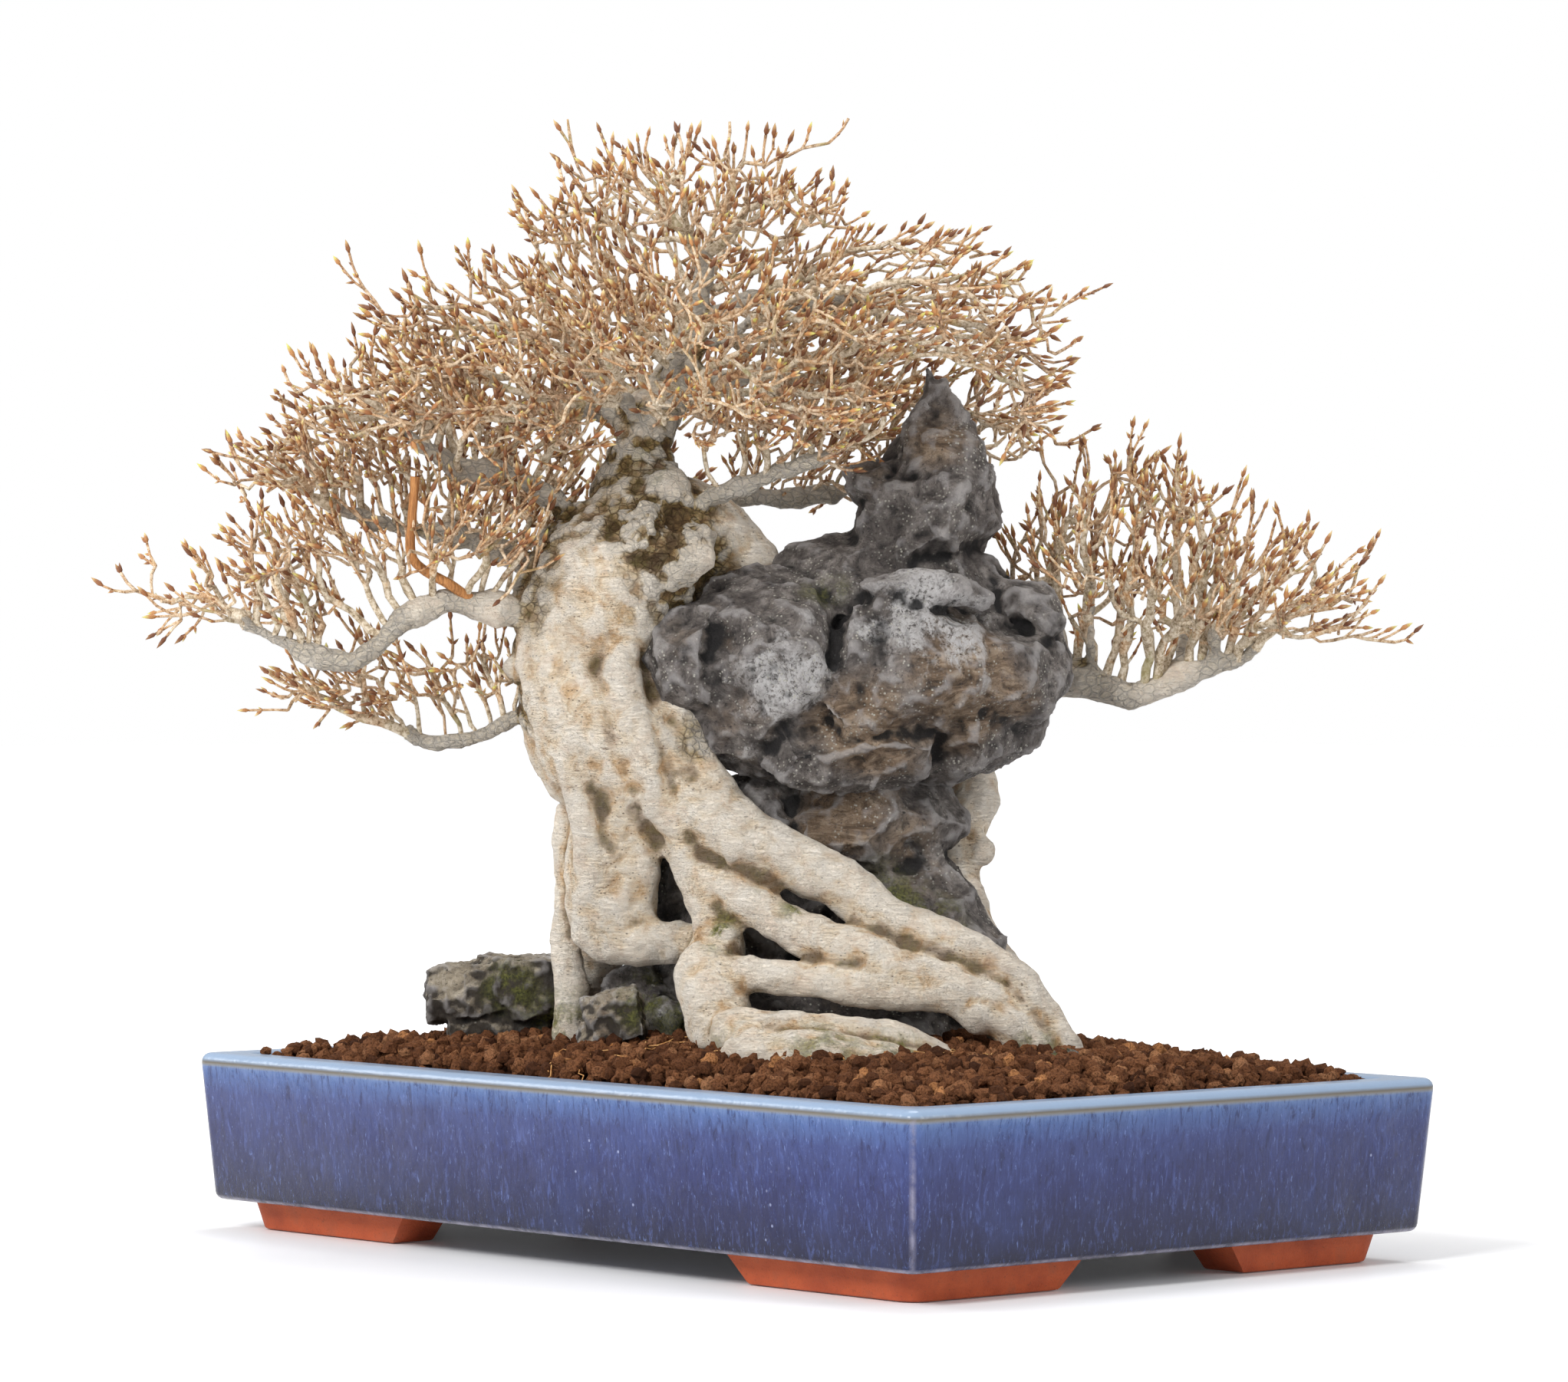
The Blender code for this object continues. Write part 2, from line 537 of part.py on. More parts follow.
def make_trunk(finish):
    chains = [TRUNK, *ROOTS.values()]
    tubes = [[(tree_point(p), p[3]) for p in chain] for chain in chains]
    for limb in LIMBS.values():
        point, heading, radius = collar_plane(limb)
        tubes.append([(tree_point(limb["axis"][0]), radius * 1.25), (point + heading * 0.006, radius)])
    draft = place("trunk_draft", tubes_mesh(tubes, 8))
    fuse = draft.modifiers.new("fuse", "REMESH")
    fuse.mode = "VOXEL"
    fuse.voxel_size = WOOD_CELL
    soften = draft.modifiers.new("soften", "SMOOTH")
    soften.iterations = 3
    thin = draft.modifiers.new("thin", "DECIMATE")
    thin.ratio = 0.1
    for name, limb in LIMBS.items():
        point, heading, radius = collar_plane(limb)
        cutter = cylinder(f"{name}_cut", (0, 0), radius * 1.9, 0, 0.014, 12)
        cutter.data.transform(heading.to_track_quat("Z", "Y").to_matrix().to_4x4())
        cutter.data.transform(Matrix.Translation(point))
        boolean(draft, cutter)
    return finished("trunk_and_roots", draft, finish, 60)


# ---- limbs -------------------------------------------------------------------------------------
def spread_through(pads, seed):
    """Points for the twigs to grow towards, most of them near the upper side of each pad."""
    chance = random.Random(seed)
    points = []
    for centre, half, count in pads:
        made = 0
        while made < count:
            p = Vector([chance.uniform(-1, 1) for _ in range(3)])
            if not 0.45 < p.length < 1 or p.z < -0.55:
                continue
            points.append(Vector(centre[i] + half[i] * p[i] for i in range(3)))
            made += 1
    return points


def node_tree(nodes, first=0):
    tree = kdtree.KDTree(len(nodes))
    for i, node in enumerate(nodes):
        if i >= first:
            tree.insert(node, i)
    tree.balance()
    return tree


def grown(limb, seed):
    """Nodes and parents of a limb whose twigs have grown into its pads, in the tree's frame."""
    axis = [Vector(p) for p in limb["axis"]]
    nodes, parents = [axis[0]], [None]
    for a, b in zip(axis, axis[1:]):
        steps = max(1, round((b - a).length / STEP))
        for i in range(1, steps + 1):
            nodes.append(a.lerp(b, i / steps))
            parents.append(len(nodes) - 2)
    first_twig = len(nodes) // 3
    children = [0] * len(nodes)
    targets = spread_through(limb["pads"], seed)
    chance = random.Random(seed + 1)
    for _ in range(70):
        tree = node_tree(nodes, first_twig)
        pulls = {}
        for target in targets:
            _, i, distance = tree.find(target)
            if distance < REACH:
                pulls.setdefault(i, []).append((target - nodes[i]).normalized())
        if not pulls:
            _, i, _ = tree.find(targets[0])
            pulls[i] = [(targets[0] - nodes[i]).normalized()]
        for i, pull in pulls.items():
            if children[i] >= 3:
                continue
            heading = sum(pull, Vector()) / len(pull)
            heading += Vector(chance.uniform(-0.35, 0.35) for _ in range(3)) + Vector((0, 0, 0.12))
            children[i] += 1
            nodes.append(nodes[i] + heading.normalized() * STEP)
            parents.append(i)
            children.append(0)
        tree = node_tree(nodes)
        targets = [t for t in targets if tree.find(t)[2] > SPENT]
        if not targets:
            break
    for tip in limb.get("tips", []):
        _, nearest, distance = node_tree(nodes, first_twig).find(tip)
        foot = nodes[nearest]
        steps = max(1, round(distance / STEP))
        for i in range(1, steps + 1):
            parents.append(nearest if i == 1 else len(nodes) - 1)
            nodes.append(foot.lerp(Vector(tip), i / steps))
    return nodes, parents


def chains_of(nodes, parents):
    """The nodes as chains, each from its fork to its tip, largest first, with the tips each one bears."""
    tips = [0] * len(nodes)
    offspring = [[] for _ in nodes]
    for i, parent in enumerate(parents):
        if parent is not None:
            offspring[parent].append(i)
    for i in range(len(nodes) - 1, -1, -1):
        tips[i] = sum(tips[c] for c in offspring[i]) or 1
    starts, chains = [(None, 0)], []
    while starts:
        fork, i = starts.pop()
        chain = [i] if fork is None else [fork, i]
        while offspring[i]:
            heir = max(offspring[i], key=lambda c: tips[c])
            starts += [(i, c) for c in offspring[i] if c != heir]
            i = heir
            chain.append(i)
        chains.append(chain)
    chains.sort(key=lambda c: (-tips[c[1]], -len(c)))
    return chains, tips


def make_limb(name, limb, seed, finish):
    nodes, parents = grown(limb, seed)
    chains, tips = chains_of(nodes, parents)
    first = max(6, round(TUBES_PER_END * sum(pad[2] for pad in limb["pads"])))
    wanted = set(range(first))
    for tip in limb.get("tips", []):
        rank = next(r for r, chain in enumerate(chains) if (nodes[chain[-1]] - Vector(tip)).length < 1e-6)
        while rank not in wanted:
            wanted.add(rank)
            rank = next(r for r, chain in enumerate(chains) if chains[rank][0] in chain[1:] or r == rank)
    chains = [chains[rank] for rank in sorted(wanted)]
    forks = {chain[0] for chain in chains}
    point, heading, radius = collar_plane(limb)
    twigs = bpy.data.collections.new(f"{name}_twigs")
    CUTTERS.children.link(twigs)
    for rank, chain in enumerate(chains):
        tube = []
        for k, i in enumerate(chain):
            if k % 4 == 1 or i in forks or k == len(chain) - 1:
                bears = tips[chain[max(k, 1)]] / tips[0]
                tube.append((tree_point(nodes[i]), max(TWIG_RADIUS, radius * bears ** 0.45)))
        if rank == 0:
            ahead = [t for t in tube if (t[0] - point).dot(heading) > 1.5 * radius]
            foot = [(point + heading * GAP, radius), (point + heading * radius * 0.8, radius)]
            draft = place(f"{name}_axis", tubes_mesh([foot + ahead], 6))
        else:
            (start, thick), (after, _) = tube[:2]
            tube[0] = (start.lerp(after, -0.05), thick * 0.85)
            twig = place(f"{name}_twig", tubes_mesh([tube], 4))
            CUTTERS.objects.unlink(twig)
            twigs.objects.link(twig)
    join = draft.modifiers.new("join", "BOOLEAN")
    join.operation = "UNION"
    join.operand_type = "COLLECTION"
    join.collection = twigs
    return finished(name, draft, finish, 60)


# ---- stones and soil ---------------------------------------------------------------------------
def boulder_mesh(boulders):
    """Lumpy, blocky stones in the tree's frame, in one mesh."""
    bm = bmesh.new()
    for centre, half, turn, lean in boulders:
        made = bmesh.ops.create_icosphere(bm, subdivisions=3, radius=1)["verts"]
        pose = (TREE_TO_POT @ Matrix.Translation(centre)
                @ Matrix.Rotation(math.radians(turn), 4, "Z") @ Matrix.Rotation(math.radians(lean), 4, "Y"))
        for vert in made:
            away = vert.co.normalized()
            block = 1 / max(abs(away.x) ** 4 + abs(away.y) ** 4 + abs(away.z) ** 4, 0.2) ** 0.25
            rough = 1 + 0.10 * noise.noise(away * 2.1 + Vector(centre) * 40)
            size = (0.45 + 0.55 * block) * rough
            vert.co = pose @ Vector(away[i] * half[i] * size for i in range(3))
    mesh = bpy.data.meshes.new("boulders")
    bm.to_mesh(mesh)
    bm.free()
    return mesh


def make_stone(name, boulders, neighbours, finish, cell=ROCK_CELL, ratio=0.12):
    """Makes the stone, cut to fit its neighbours, and returns the room it needs uncut."""
    draft = place(f"{name}_draft", boulder_mesh(boulders))
    fuse = draft.modifiers.new("fuse", "REMESH")
    fuse.mode = "VOXEL"
    fuse.voxel_size = cell
    thin = draft.modifiers.new("thin", "DECIMATE")
    thin.ratio = ratio
    room = swollen(name, evaluated_mesh(draft))
    for neighbour in neighbours:
        boolean(draft, neighbour)
    finished(name, draft, finish, 25)
    return room


def soil_height(x, y):
    across = 1 - min(1, abs(x) / (POT_LENGTH / 2 - LIP_WIDTH)) ** 2
    along = 1 - min(1, abs(y) / (POT_WIDTH / 2 - LIP_WIDTH)) ** 2
    return POT_HEIGHT - SOIL_BELOW_RIM + MOUND * math.sqrt(across * along)


def make_soil(neighbours, finish):
    base = FOOT_HEIGHT + FLOOR + GAP
    under_lip = POT_HEIGHT - LIP_THICKNESS - GAP
    inner_x, inner_y = POT_LENGTH / 2 - WALL - GAP, POT_WIDTH / 2 - WALL - GAP
    lower = place("soil_draft", box_mesh((-inner_x, -inner_y, base), (inner_x, inner_y, under_lip),
                                         (SIDE_LEAN, SIDE_LEAN), [(upright, CORNER_RADIUS, 3)]))
    mouth_x, mouth_y = POT_LENGTH / 2 - LIP_WIDTH - 2 * GAP, POT_WIDTH / 2 - LIP_WIDTH - 2 * GAP
    level = POT_HEIGHT - SOIL_BELOW_RIM
    bm = bmesh.new()
    bm.from_mesh(box_mesh((-mouth_x, -mouth_y, base + 0.01), (mouth_x, mouth_y, level)))
    top = [f for f in bm.faces if f.normal.z > 0.9]
    edges = {e for f in top for e in f.edges}
    bmesh.ops.subdivide_edges(bm, edges=list(edges), cuts=9, use_grid_fill=True)
    for vert in bm.verts:
        if vert.co.z > level - 1e-5:
            vert.co.z = soil_height(vert.co.x, vert.co.y)
        if abs(vert.co.x) + abs(vert.co.y) > mouth_x + mouth_y - 1e-4:
            for i in range(2):                       # to clear the mouth's rounded corner
                vert.co[i] -= math.copysign(0.3 * CORNER_RADIUS, vert.co[i])
    mesh = bpy.data.meshes.new("soil_mound")
    bm.to_mesh(mesh)
    bm.free()
    boolean(lower, place("soil_mound", mesh), "UNION")
    for neighbour in neighbours:
        boolean(lower, neighbour)
    return finished("soil", lower, finish, 30)


def screen_room(centre):
    """The pocket that a screen and its clip leave free under the soil."""
    half, top = SCREEN_SIZE / 2 + SCREEN_STRAND + GAP, screen_top() + 2.6 * CLIP_WIRE + 2 * GAP
    return place("screen_room", box_mesh((centre[0] - half, centre[1] - half, FOOT_HEIGHT),
                                         (centre[0] + half, centre[1] + half, top)))


def build():
    glaze = material("blue_glaze", (0.07, 0.12, 0.36), 0.25)
    mesh_plastic = material("screen_plastic", (0.03, 0.03, 0.03), 0.6)
    wire_metal = material("aluminium_wire", (0.55, 0.52, 0.48), 0.4, 1.0)
    bark = material("pale_bark", (0.62, 0.50, 0.37), 0.8)
    twig_bark = material("twig_bark", (0.50, 0.33, 0.20), 0.75)
    stone = material("grey_stone", (0.20, 0.18, 0.17), 0.85)
    grit = material("red_grit", (0.26, 0.09, 0.035), 0.95)

    make_pot(glaze)
    make_screens(mesh_plastic)
    make_clips(wire_metal)
    wires = make_tie_wires(wire_metal)
    trunk = make_trunk(bark)
    wood_room = swollen("wood", trunk.data.copy())
    wood_core = place("wood_core", trunk.data.copy())
    limb_rooms = []
    for seed, (name, limb) in enumerate(LIMBS.items()):
        limb_part = make_limb(name, limb, 10 * seed + 3, twig_bark)
        limb_rooms.append(swollen(name, limb_part.data.copy()))
    main_room = make_stone("main_rock", MAIN_ROCK, [wood_room, *limb_rooms], stone, ratio=0.185)
    stone_rooms = [make_stone("pedestal_rock", PEDESTAL, [wood_room, wood_core, main_room], stone)]
    for name, boulders in (("slab_stone", SLAB_STONE), ("dark_stone", DARK_STONE),
                           ("wedge_stone", WEDGE_STONE), ("root_tip_stone", TIP_STONE)):
        room = make_stone(name, boulders, [wood_room, *stone_rooms], stone, 0.004, 0.2)
        stone_rooms.append(room)
    rooms = [screen_room(centre) for centre in drain_centres()]
    rooms += [swollen(wire.name, wire.data.copy()) for wire in wires]
    make_soil([wood_room, *stone_rooms, *rooms], grit)


build()
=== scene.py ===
import json
import math
import random

import bmesh
import bpy
import numpy as np
from mathutils import Matrix, Vector, kdtree

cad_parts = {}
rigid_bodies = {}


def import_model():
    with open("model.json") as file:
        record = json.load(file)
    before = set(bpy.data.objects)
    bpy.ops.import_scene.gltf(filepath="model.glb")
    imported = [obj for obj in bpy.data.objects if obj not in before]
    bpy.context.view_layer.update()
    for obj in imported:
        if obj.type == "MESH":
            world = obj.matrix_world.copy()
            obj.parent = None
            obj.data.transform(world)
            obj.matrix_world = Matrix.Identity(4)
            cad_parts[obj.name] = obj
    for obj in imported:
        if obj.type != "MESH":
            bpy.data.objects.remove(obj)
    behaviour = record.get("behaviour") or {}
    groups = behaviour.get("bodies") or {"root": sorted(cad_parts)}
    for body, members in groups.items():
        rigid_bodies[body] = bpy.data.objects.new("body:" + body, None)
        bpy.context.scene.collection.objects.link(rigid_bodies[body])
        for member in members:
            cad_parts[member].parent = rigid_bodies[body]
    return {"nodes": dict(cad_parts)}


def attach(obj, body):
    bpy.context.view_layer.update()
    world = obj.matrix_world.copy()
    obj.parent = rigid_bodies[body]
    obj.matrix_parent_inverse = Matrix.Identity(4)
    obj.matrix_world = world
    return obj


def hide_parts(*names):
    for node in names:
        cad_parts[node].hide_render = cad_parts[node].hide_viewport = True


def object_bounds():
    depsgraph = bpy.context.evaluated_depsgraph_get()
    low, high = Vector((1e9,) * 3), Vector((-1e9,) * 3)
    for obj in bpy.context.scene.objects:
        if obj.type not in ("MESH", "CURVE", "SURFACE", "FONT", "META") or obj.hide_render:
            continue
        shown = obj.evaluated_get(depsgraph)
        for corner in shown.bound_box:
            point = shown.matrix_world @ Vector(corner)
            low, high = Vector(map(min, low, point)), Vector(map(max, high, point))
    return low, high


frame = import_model()
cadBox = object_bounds()
bpy.ops.object.select_all(action="DESELECT")
print("bonsai: frame loaded")

# metres. the tree has its own frame: right, back and up as seen from its front, zero at the pot's rim
pot = {"length": 0.540, "width": 0.360, "height": 0.091, "foot": 0.015, "lean": 0.006,
       "lip": 0.020, "corner": 0.008}
treeTurn = math.radians(47.58)
treeToPot = Matrix.Translation((0, 0, pot["height"])) @ Matrix.Rotation(treeTurn, 4, "Z")


def treePoint(p):
    return treeToPot @ Vector(p[:3])


def anyWay(chance, size=1):
    return Vector(chance.uniform(-size, size) for _ in range(3))


def anyAxis(chance):
    return Vector(chance.gauss(0, 1) for _ in range(3)).normalized()


def pick(*objs):
    bpy.ops.object.select_all(action="DESELECT")
    for obj in objs:
        obj.select_set(True)
    bpy.context.view_layer.objects.active = objs[0]
    return objs[0]


def bake(obj):
    pick(obj)
    bpy.ops.object.transform_apply(location=True, rotation=True, scale=True)
    return obj


def added(name, data):
    obj = bpy.data.objects.new(name, data)
    bpy.context.scene.collection.objects.link(obj)
    return obj


def block(name, size, centre):
    bpy.ops.mesh.primitive_cube_add(size=1, location=centre)
    obj = bpy.context.object
    obj.name = name
    obj.scale = size
    return bake(obj)


def joined(name, objs):
    pick(*objs)
    if len(objs) > 1:
        bpy.ops.object.join()
    obj = bpy.context.object
    obj.name = name
    return bake(obj)


def modify(obj, kind, **settings):
    pick(obj)
    modifier = obj.modifiers.new(kind.lower(), kind)
    for key, value in settings.items():
        setattr(modifier, key, value)
    bpy.ops.object.modifier_apply(modifier=modifier.name)
    return obj


def roughen(obj, kind, size, strength, mid=0.5, group="", **settings):
    texture = bpy.data.textures.new(f"{obj.name}_{kind.lower()}", kind)
    texture.noise_scale = size
    for key, value in settings.items():
        setattr(texture, key, value)
    return modify(obj, "DISPLACE", texture=texture, strength=strength, mid_level=mid, texture_coords="LOCAL",
                  vertex_group=group)


def select(obj, kind, test):
    pick(obj)
    bpy.ops.object.mode_set(mode="EDIT")
    bpy.ops.mesh.select_mode(type=kind)
    bpy.ops.mesh.select_all(action="DESELECT")
    bm = bmesh.from_edit_mesh(obj.data)
    for item in bm.faces if kind == "FACE" else bm.edges:
        item.select = bool(test(item))
    bm.select_flush_mode()
    bmesh.update_edit_mesh(obj.data)


def selectFaces(obj, test):
    select(obj, "FACE", lambda face: test(face.calc_center_median(), face.normal))


def selectEdges(obj, test):
    select(obj, "EDGE", lambda edge: test(edge.verts[0].co, edge.verts[1].co))


def objectMode():
    bpy.ops.object.mode_set(mode="OBJECT")


def bevelled(obj, test, offset, steps):
    selectEdges(obj, test)
    bpy.ops.mesh.bevel(offset=offset, segments=steps, affect="EDGES")
    objectMode()


def smooth(obj, angle=40):
    pick(obj)
    bpy.ops.object.shade_smooth_by_angle(angle=math.radians(angle))


def done(obj, material, slot, *nodes):
    obj.data.materials.clear()
    obj.data.materials.append(material)
    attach(obj, "root")
    if nodes:
        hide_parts(*nodes)
    return obj


def paint(obj, name, values):
    attribute = obj.data.attributes.new(name, "FLOAT", "POINT")
    attribute.data.foreach_set("value", values)


def vectorsOf(items, name, kind, width):
    values = np.empty(len(items) * width, kind)
    items.foreach_get(name, values)
    return values.reshape(-1, width)


def hollows(obj, rounds, reach):        # how far each point lies under the surface when that is smoothed
    mesh = obj.data
    count = len(mesh.vertices)
    co = vectorsOf(mesh.vertices, "co", np.float32, 3)
    normals = vectorsOf(mesh.vertices, "normal", np.float32, 3)
    a, b = vectorsOf(mesh.edges, "vertices", np.int32, 2).T
    degree = (np.bincount(a, minlength=count) + np.bincount(b, minlength=count))[:, None].astype(np.float32)
    flat = co.copy()
    for _ in range(rounds):
        total = np.empty_like(flat)
        for axis in range(3):
            total[:, axis] = (np.bincount(a, weights=flat[b, axis], minlength=count)
                              + np.bincount(b, weights=flat[a, axis], minlength=count))
        flat = total / np.maximum(degree, 1)
    depth = ((flat - co) * normals).sum(1) / reach
    paint(obj, "hollow", np.clip(0.5 + depth * 0.5, 0, 1).astype(np.float32))


def spotted(obj, name, spots):
    co = vectorsOf(obj.data.vertices, "co", np.float32, 3)
    values = np.zeros(len(co), np.float32)
    for spot in spots:
        away = np.linalg.norm(co - np.array(treePoint(spot), np.float32), axis=1)
        values = np.maximum(values, np.clip(1.4 - away / spot[3], 0, 1))
    paint(obj, name, values)


def scattered(name, shapes, spots, parts, soft):
    shapeData = []
    for shape in shapes:
        co = np.array([v.co for v in shape.data.vertices], np.float32)
        shapeData.append((co, [list(p.vertices) for p in shape.data.polygons]))
    made = []
    for part in range(parts):
        verts, faces, tones, start = [], [], [], 0
        for index, matrix, tone in spots[part::parts]:
            co, shapeFaces = shapeData[index]
            m = np.array(matrix, np.float32)
            verts.append(co @ m[:3, :3].T + m[:3, 3])
            faces += [[i + start for i in face] for face in shapeFaces]
            tones.append(np.full(len(co), tone, np.float32))
            start += len(co)
        mesh = bpy.data.meshes.new(name)
        mesh.from_pydata(np.concatenate(verts).tolist(), [], faces)
        obj = added(f"{name}{part + 1}", mesh)
        paint(obj, "tone", np.concatenate(tones))
        if soft:
            mesh.shade_smooth()
        made.append(obj)
    return made


def remove(*objs):
    for obj in objs:
        bpy.data.objects.remove(obj)


socketNames = {"roughness": "Roughness", "metallic": "Metallic", "specular": "Specular IOR Level"}


class Finish:
    def __init__(self, name, **settings):
        self.material = bpy.data.materials.new(name)
        self.material.use_nodes = True
        self.tree = self.material.node_tree
        self.shader = self.tree.nodes["Principled BSDF"]
        for socket, value in settings.items():
            self.shader.inputs[socketNames[socket]].default_value = value
        self.place = self.add("ShaderNodeTexCoord").outputs["Object"]

    def add(self, kind, **inputs):
        node = self.tree.nodes.new(kind)
        for key, value in inputs.items():
            self.feed(node.inputs[key.replace("_", " ")], value)
        return node

    def feed(self, socket, value):
        if isinstance(value, bpy.types.NodeSocket):
            self.tree.links.new(value, socket)
        else:
            socket.default_value = value

    def stretched(self, scale, turn=(0, 0, 0)):
        node = self.add("ShaderNodeMapping", Vector=self.place)
        node.inputs["Scale"].default_value = scale
        node.inputs["Rotation"].default_value = turn
        return node.outputs["Vector"]

    def noise(self, scale, detail=4.0, rough=0.6, vector=None, twist=0.0):
        node = self.add("ShaderNodeTexNoise", Vector=vector or self.place, Scale=scale, Detail=detail,
                        Roughness=rough, Distortion=twist)
        return node.outputs["Fac"]

    def cells(self, scale, vector=None, feature="F1"):
        node = self.add("ShaderNodeTexVoronoi", Vector=vector or self.place, Scale=scale)
        node.feature = feature
        return node.outputs["Distance"]

    def attribute(self, name):
        node = self.add("ShaderNodeAttribute")
        node.attribute_name = name
        return node.outputs["Fac"]

    def height(self):
        return self.add("ShaderNodeSeparateXYZ", Vector=self.place).outputs["Z"]

    def between(self, value, low, high, start=0.0, end=1.0):
        ends = {"From_Min": low, "From_Max": high, "To_Min": start, "To_Max": end}
        return self.add("ShaderNodeMapRange", Value=value, **ends).outputs["Result"]

    def math(self, operation, a, b=0.0):
        node = self.tree.nodes.new("ShaderNodeMath")
        node.operation = operation
        self.feed(node.inputs[0], a)
        self.feed(node.inputs[1], b)
        return node.outputs[0]

    def mix(self, factor, a, b):
        node = self.tree.nodes.new("ShaderNodeMix")
        node.data_type = "RGBA"
        self.feed(node.inputs["Factor"], factor)
        for socket, colour in (("A", a), ("B", b)):
            linked = isinstance(colour, bpy.types.NodeSocket)
            self.feed(node.inputs[socket], colour if linked else (*colour, 1))
        return node.outputs["Result"]

    def ramp(self, value, *stops):
        node = self.add("ShaderNodeValToRGB", Fac=value)
        ramp = node.color_ramp
        while len(ramp.elements) < len(stops):
            ramp.elements.new(0.5)
        for element, (position, colour) in zip(ramp.elements, stops):
            element.position = position
            element.color = (*colour, 1)
        return node.outputs["Color"]

    def bump(self, height, depth, strength=1.0, under=None):
        node = self.add("ShaderNodeBump", Height=height, Distance=depth, Strength=strength)
        if under:
            self.feed(node.inputs["Normal"], under)
        return node.outputs["Normal"]

    def finish(self, colour, normal=None):
        self.feed(self.shader.inputs["Base Color"], colour)
        if normal:
            self.feed(self.shader.inputs["Normal"], normal)
        return self.material


def glazeMaterial():
    n = Finish("blueGlaze", roughness=0.24, specular=0.38)
    z = n.height()
    runs = n.noise(1.0, 6, 0.75, n.stretched((300, 300, 75)), 0.9)
    fine = n.noise(1.0, 4, 0.7, n.stretched((760, 760, 210)), 0.5)
    cloud = n.noise(22, 5, 0.65)
    ragged = n.math("ADD", z, n.math("MULTIPLY", n.math("SUBTRACT", runs, 0.5), 0.020))
    body = n.ramp(n.between(ragged, 0.015, 0.091),
                  (0.0, (0.01, 0.01, 0.026)), (0.14, (0.012, 0.014, 0.052)),
                  (0.50, (0.019, 0.025, 0.105)), (0.74, (0.03, 0.044, 0.15)),
                  (0.88, (0.058, 0.105, 0.26)), (0.96, (0.13, 0.205, 0.36)))
    body = n.mix(n.between(runs, 0.54, 0.66, 0.0, 0.5), body, (0.07, 0.105, 0.3))
    body = n.mix(n.between(runs, 0.47, 0.36, 0.0, 0.65), body, (0.008, 0.01, 0.048))
    body = n.mix(n.between(fine, 0.60, 0.70, 0.0, 0.6), body, (0.15, 0.215, 0.47))
    body = n.mix(n.between(cloud, 0.50, 0.70, 0.0, 0.35), body, (0.034, 0.055, 0.185))
    body = n.mix(n.between(cloud, 0.46, 0.32, 0.0, 0.4), body, (0.014, 0.015, 0.062))
    blisters = n.math("MULTIPLY", n.between(n.cells(95), 0.085, 0.05), n.between(n.noise(14, 2), 0.52, 0.60))
    body = n.mix(n.math("MULTIPLY", blisters, 0.7), body, (0.3, 0.34, 0.52))
    lip = n.ramp(n.between(z, 0.084, 0.091), (0.0, (0.22, 0.225, 0.215)), (0.35, (0.13, 0.115, 0.095)),
                 (0.6, (0.23, 0.31, 0.43)), (1.0, (0.26, 0.35, 0.49)))
    body = n.mix(n.between(z, 0.0840, 0.0856), body, lip)
    # pale lavender on the upright corners is a painted highlight; along the foot it is the thin glaze
    wornAndHighlight = n.math("MULTIPLY", n.attribute("edge"), n.between(n.noise(75, 5, 0.7), 0.38, 0.62, 0.15, 1.0))
    body = n.mix(wornAndHighlight, body, (0.26, 0.25, 0.33))
    normal = n.bump(n.noise(26, 2), 0.0030, 0.6)
    normal = n.bump(n.noise(240, 3), 0.0006, 0.5, normal)
    return n.finish(body, normal)


def clayMaterial():
    n = Finish("bareClay", roughness=0.62, specular=0.3)
    grain = n.noise(900, 3)
    blotch = n.noise(40, 4)
    colour = n.ramp(blotch, (0.3, (0.33, 0.06, 0.022)), (0.55, (0.47, 0.095, 0.032)),
                    (0.8, (0.3, 0.09, 0.045)))
    colour = n.mix(n.between(grain, 0.60, 0.72, 0.0, 0.6), colour, (0.12, 0.045, 0.025))
    return n.finish(colour, n.bump(grain, 0.0006, 0.6))


def gritMaterial():
    n = Finish("redGrit", roughness=0.95, specular=0.12)
    tone = n.attribute("tone")
    colour = n.ramp(tone, (0.0, (0.055, 0.021, 0.01)), (0.30, (0.14, 0.055, 0.024)),
                    (0.65, (0.24, 0.1, 0.044)), (0.93, (0.345, 0.165, 0.08)), (1.0, (0.48, 0.215, 0.085)))
    pores = n.noise(900, 5, 0.75)
    colour = n.mix(n.between(pores, 0.54, 0.38, 0.0, 0.85), colour, (0.03, 0.011, 0.005))
    colour = n.mix(n.between(pores, 0.62, 0.76, 0.0, 0.4), colour, (0.42, 0.21, 0.1))
    return n.finish(colour, n.bump(pores, 0.0012, 1.0))


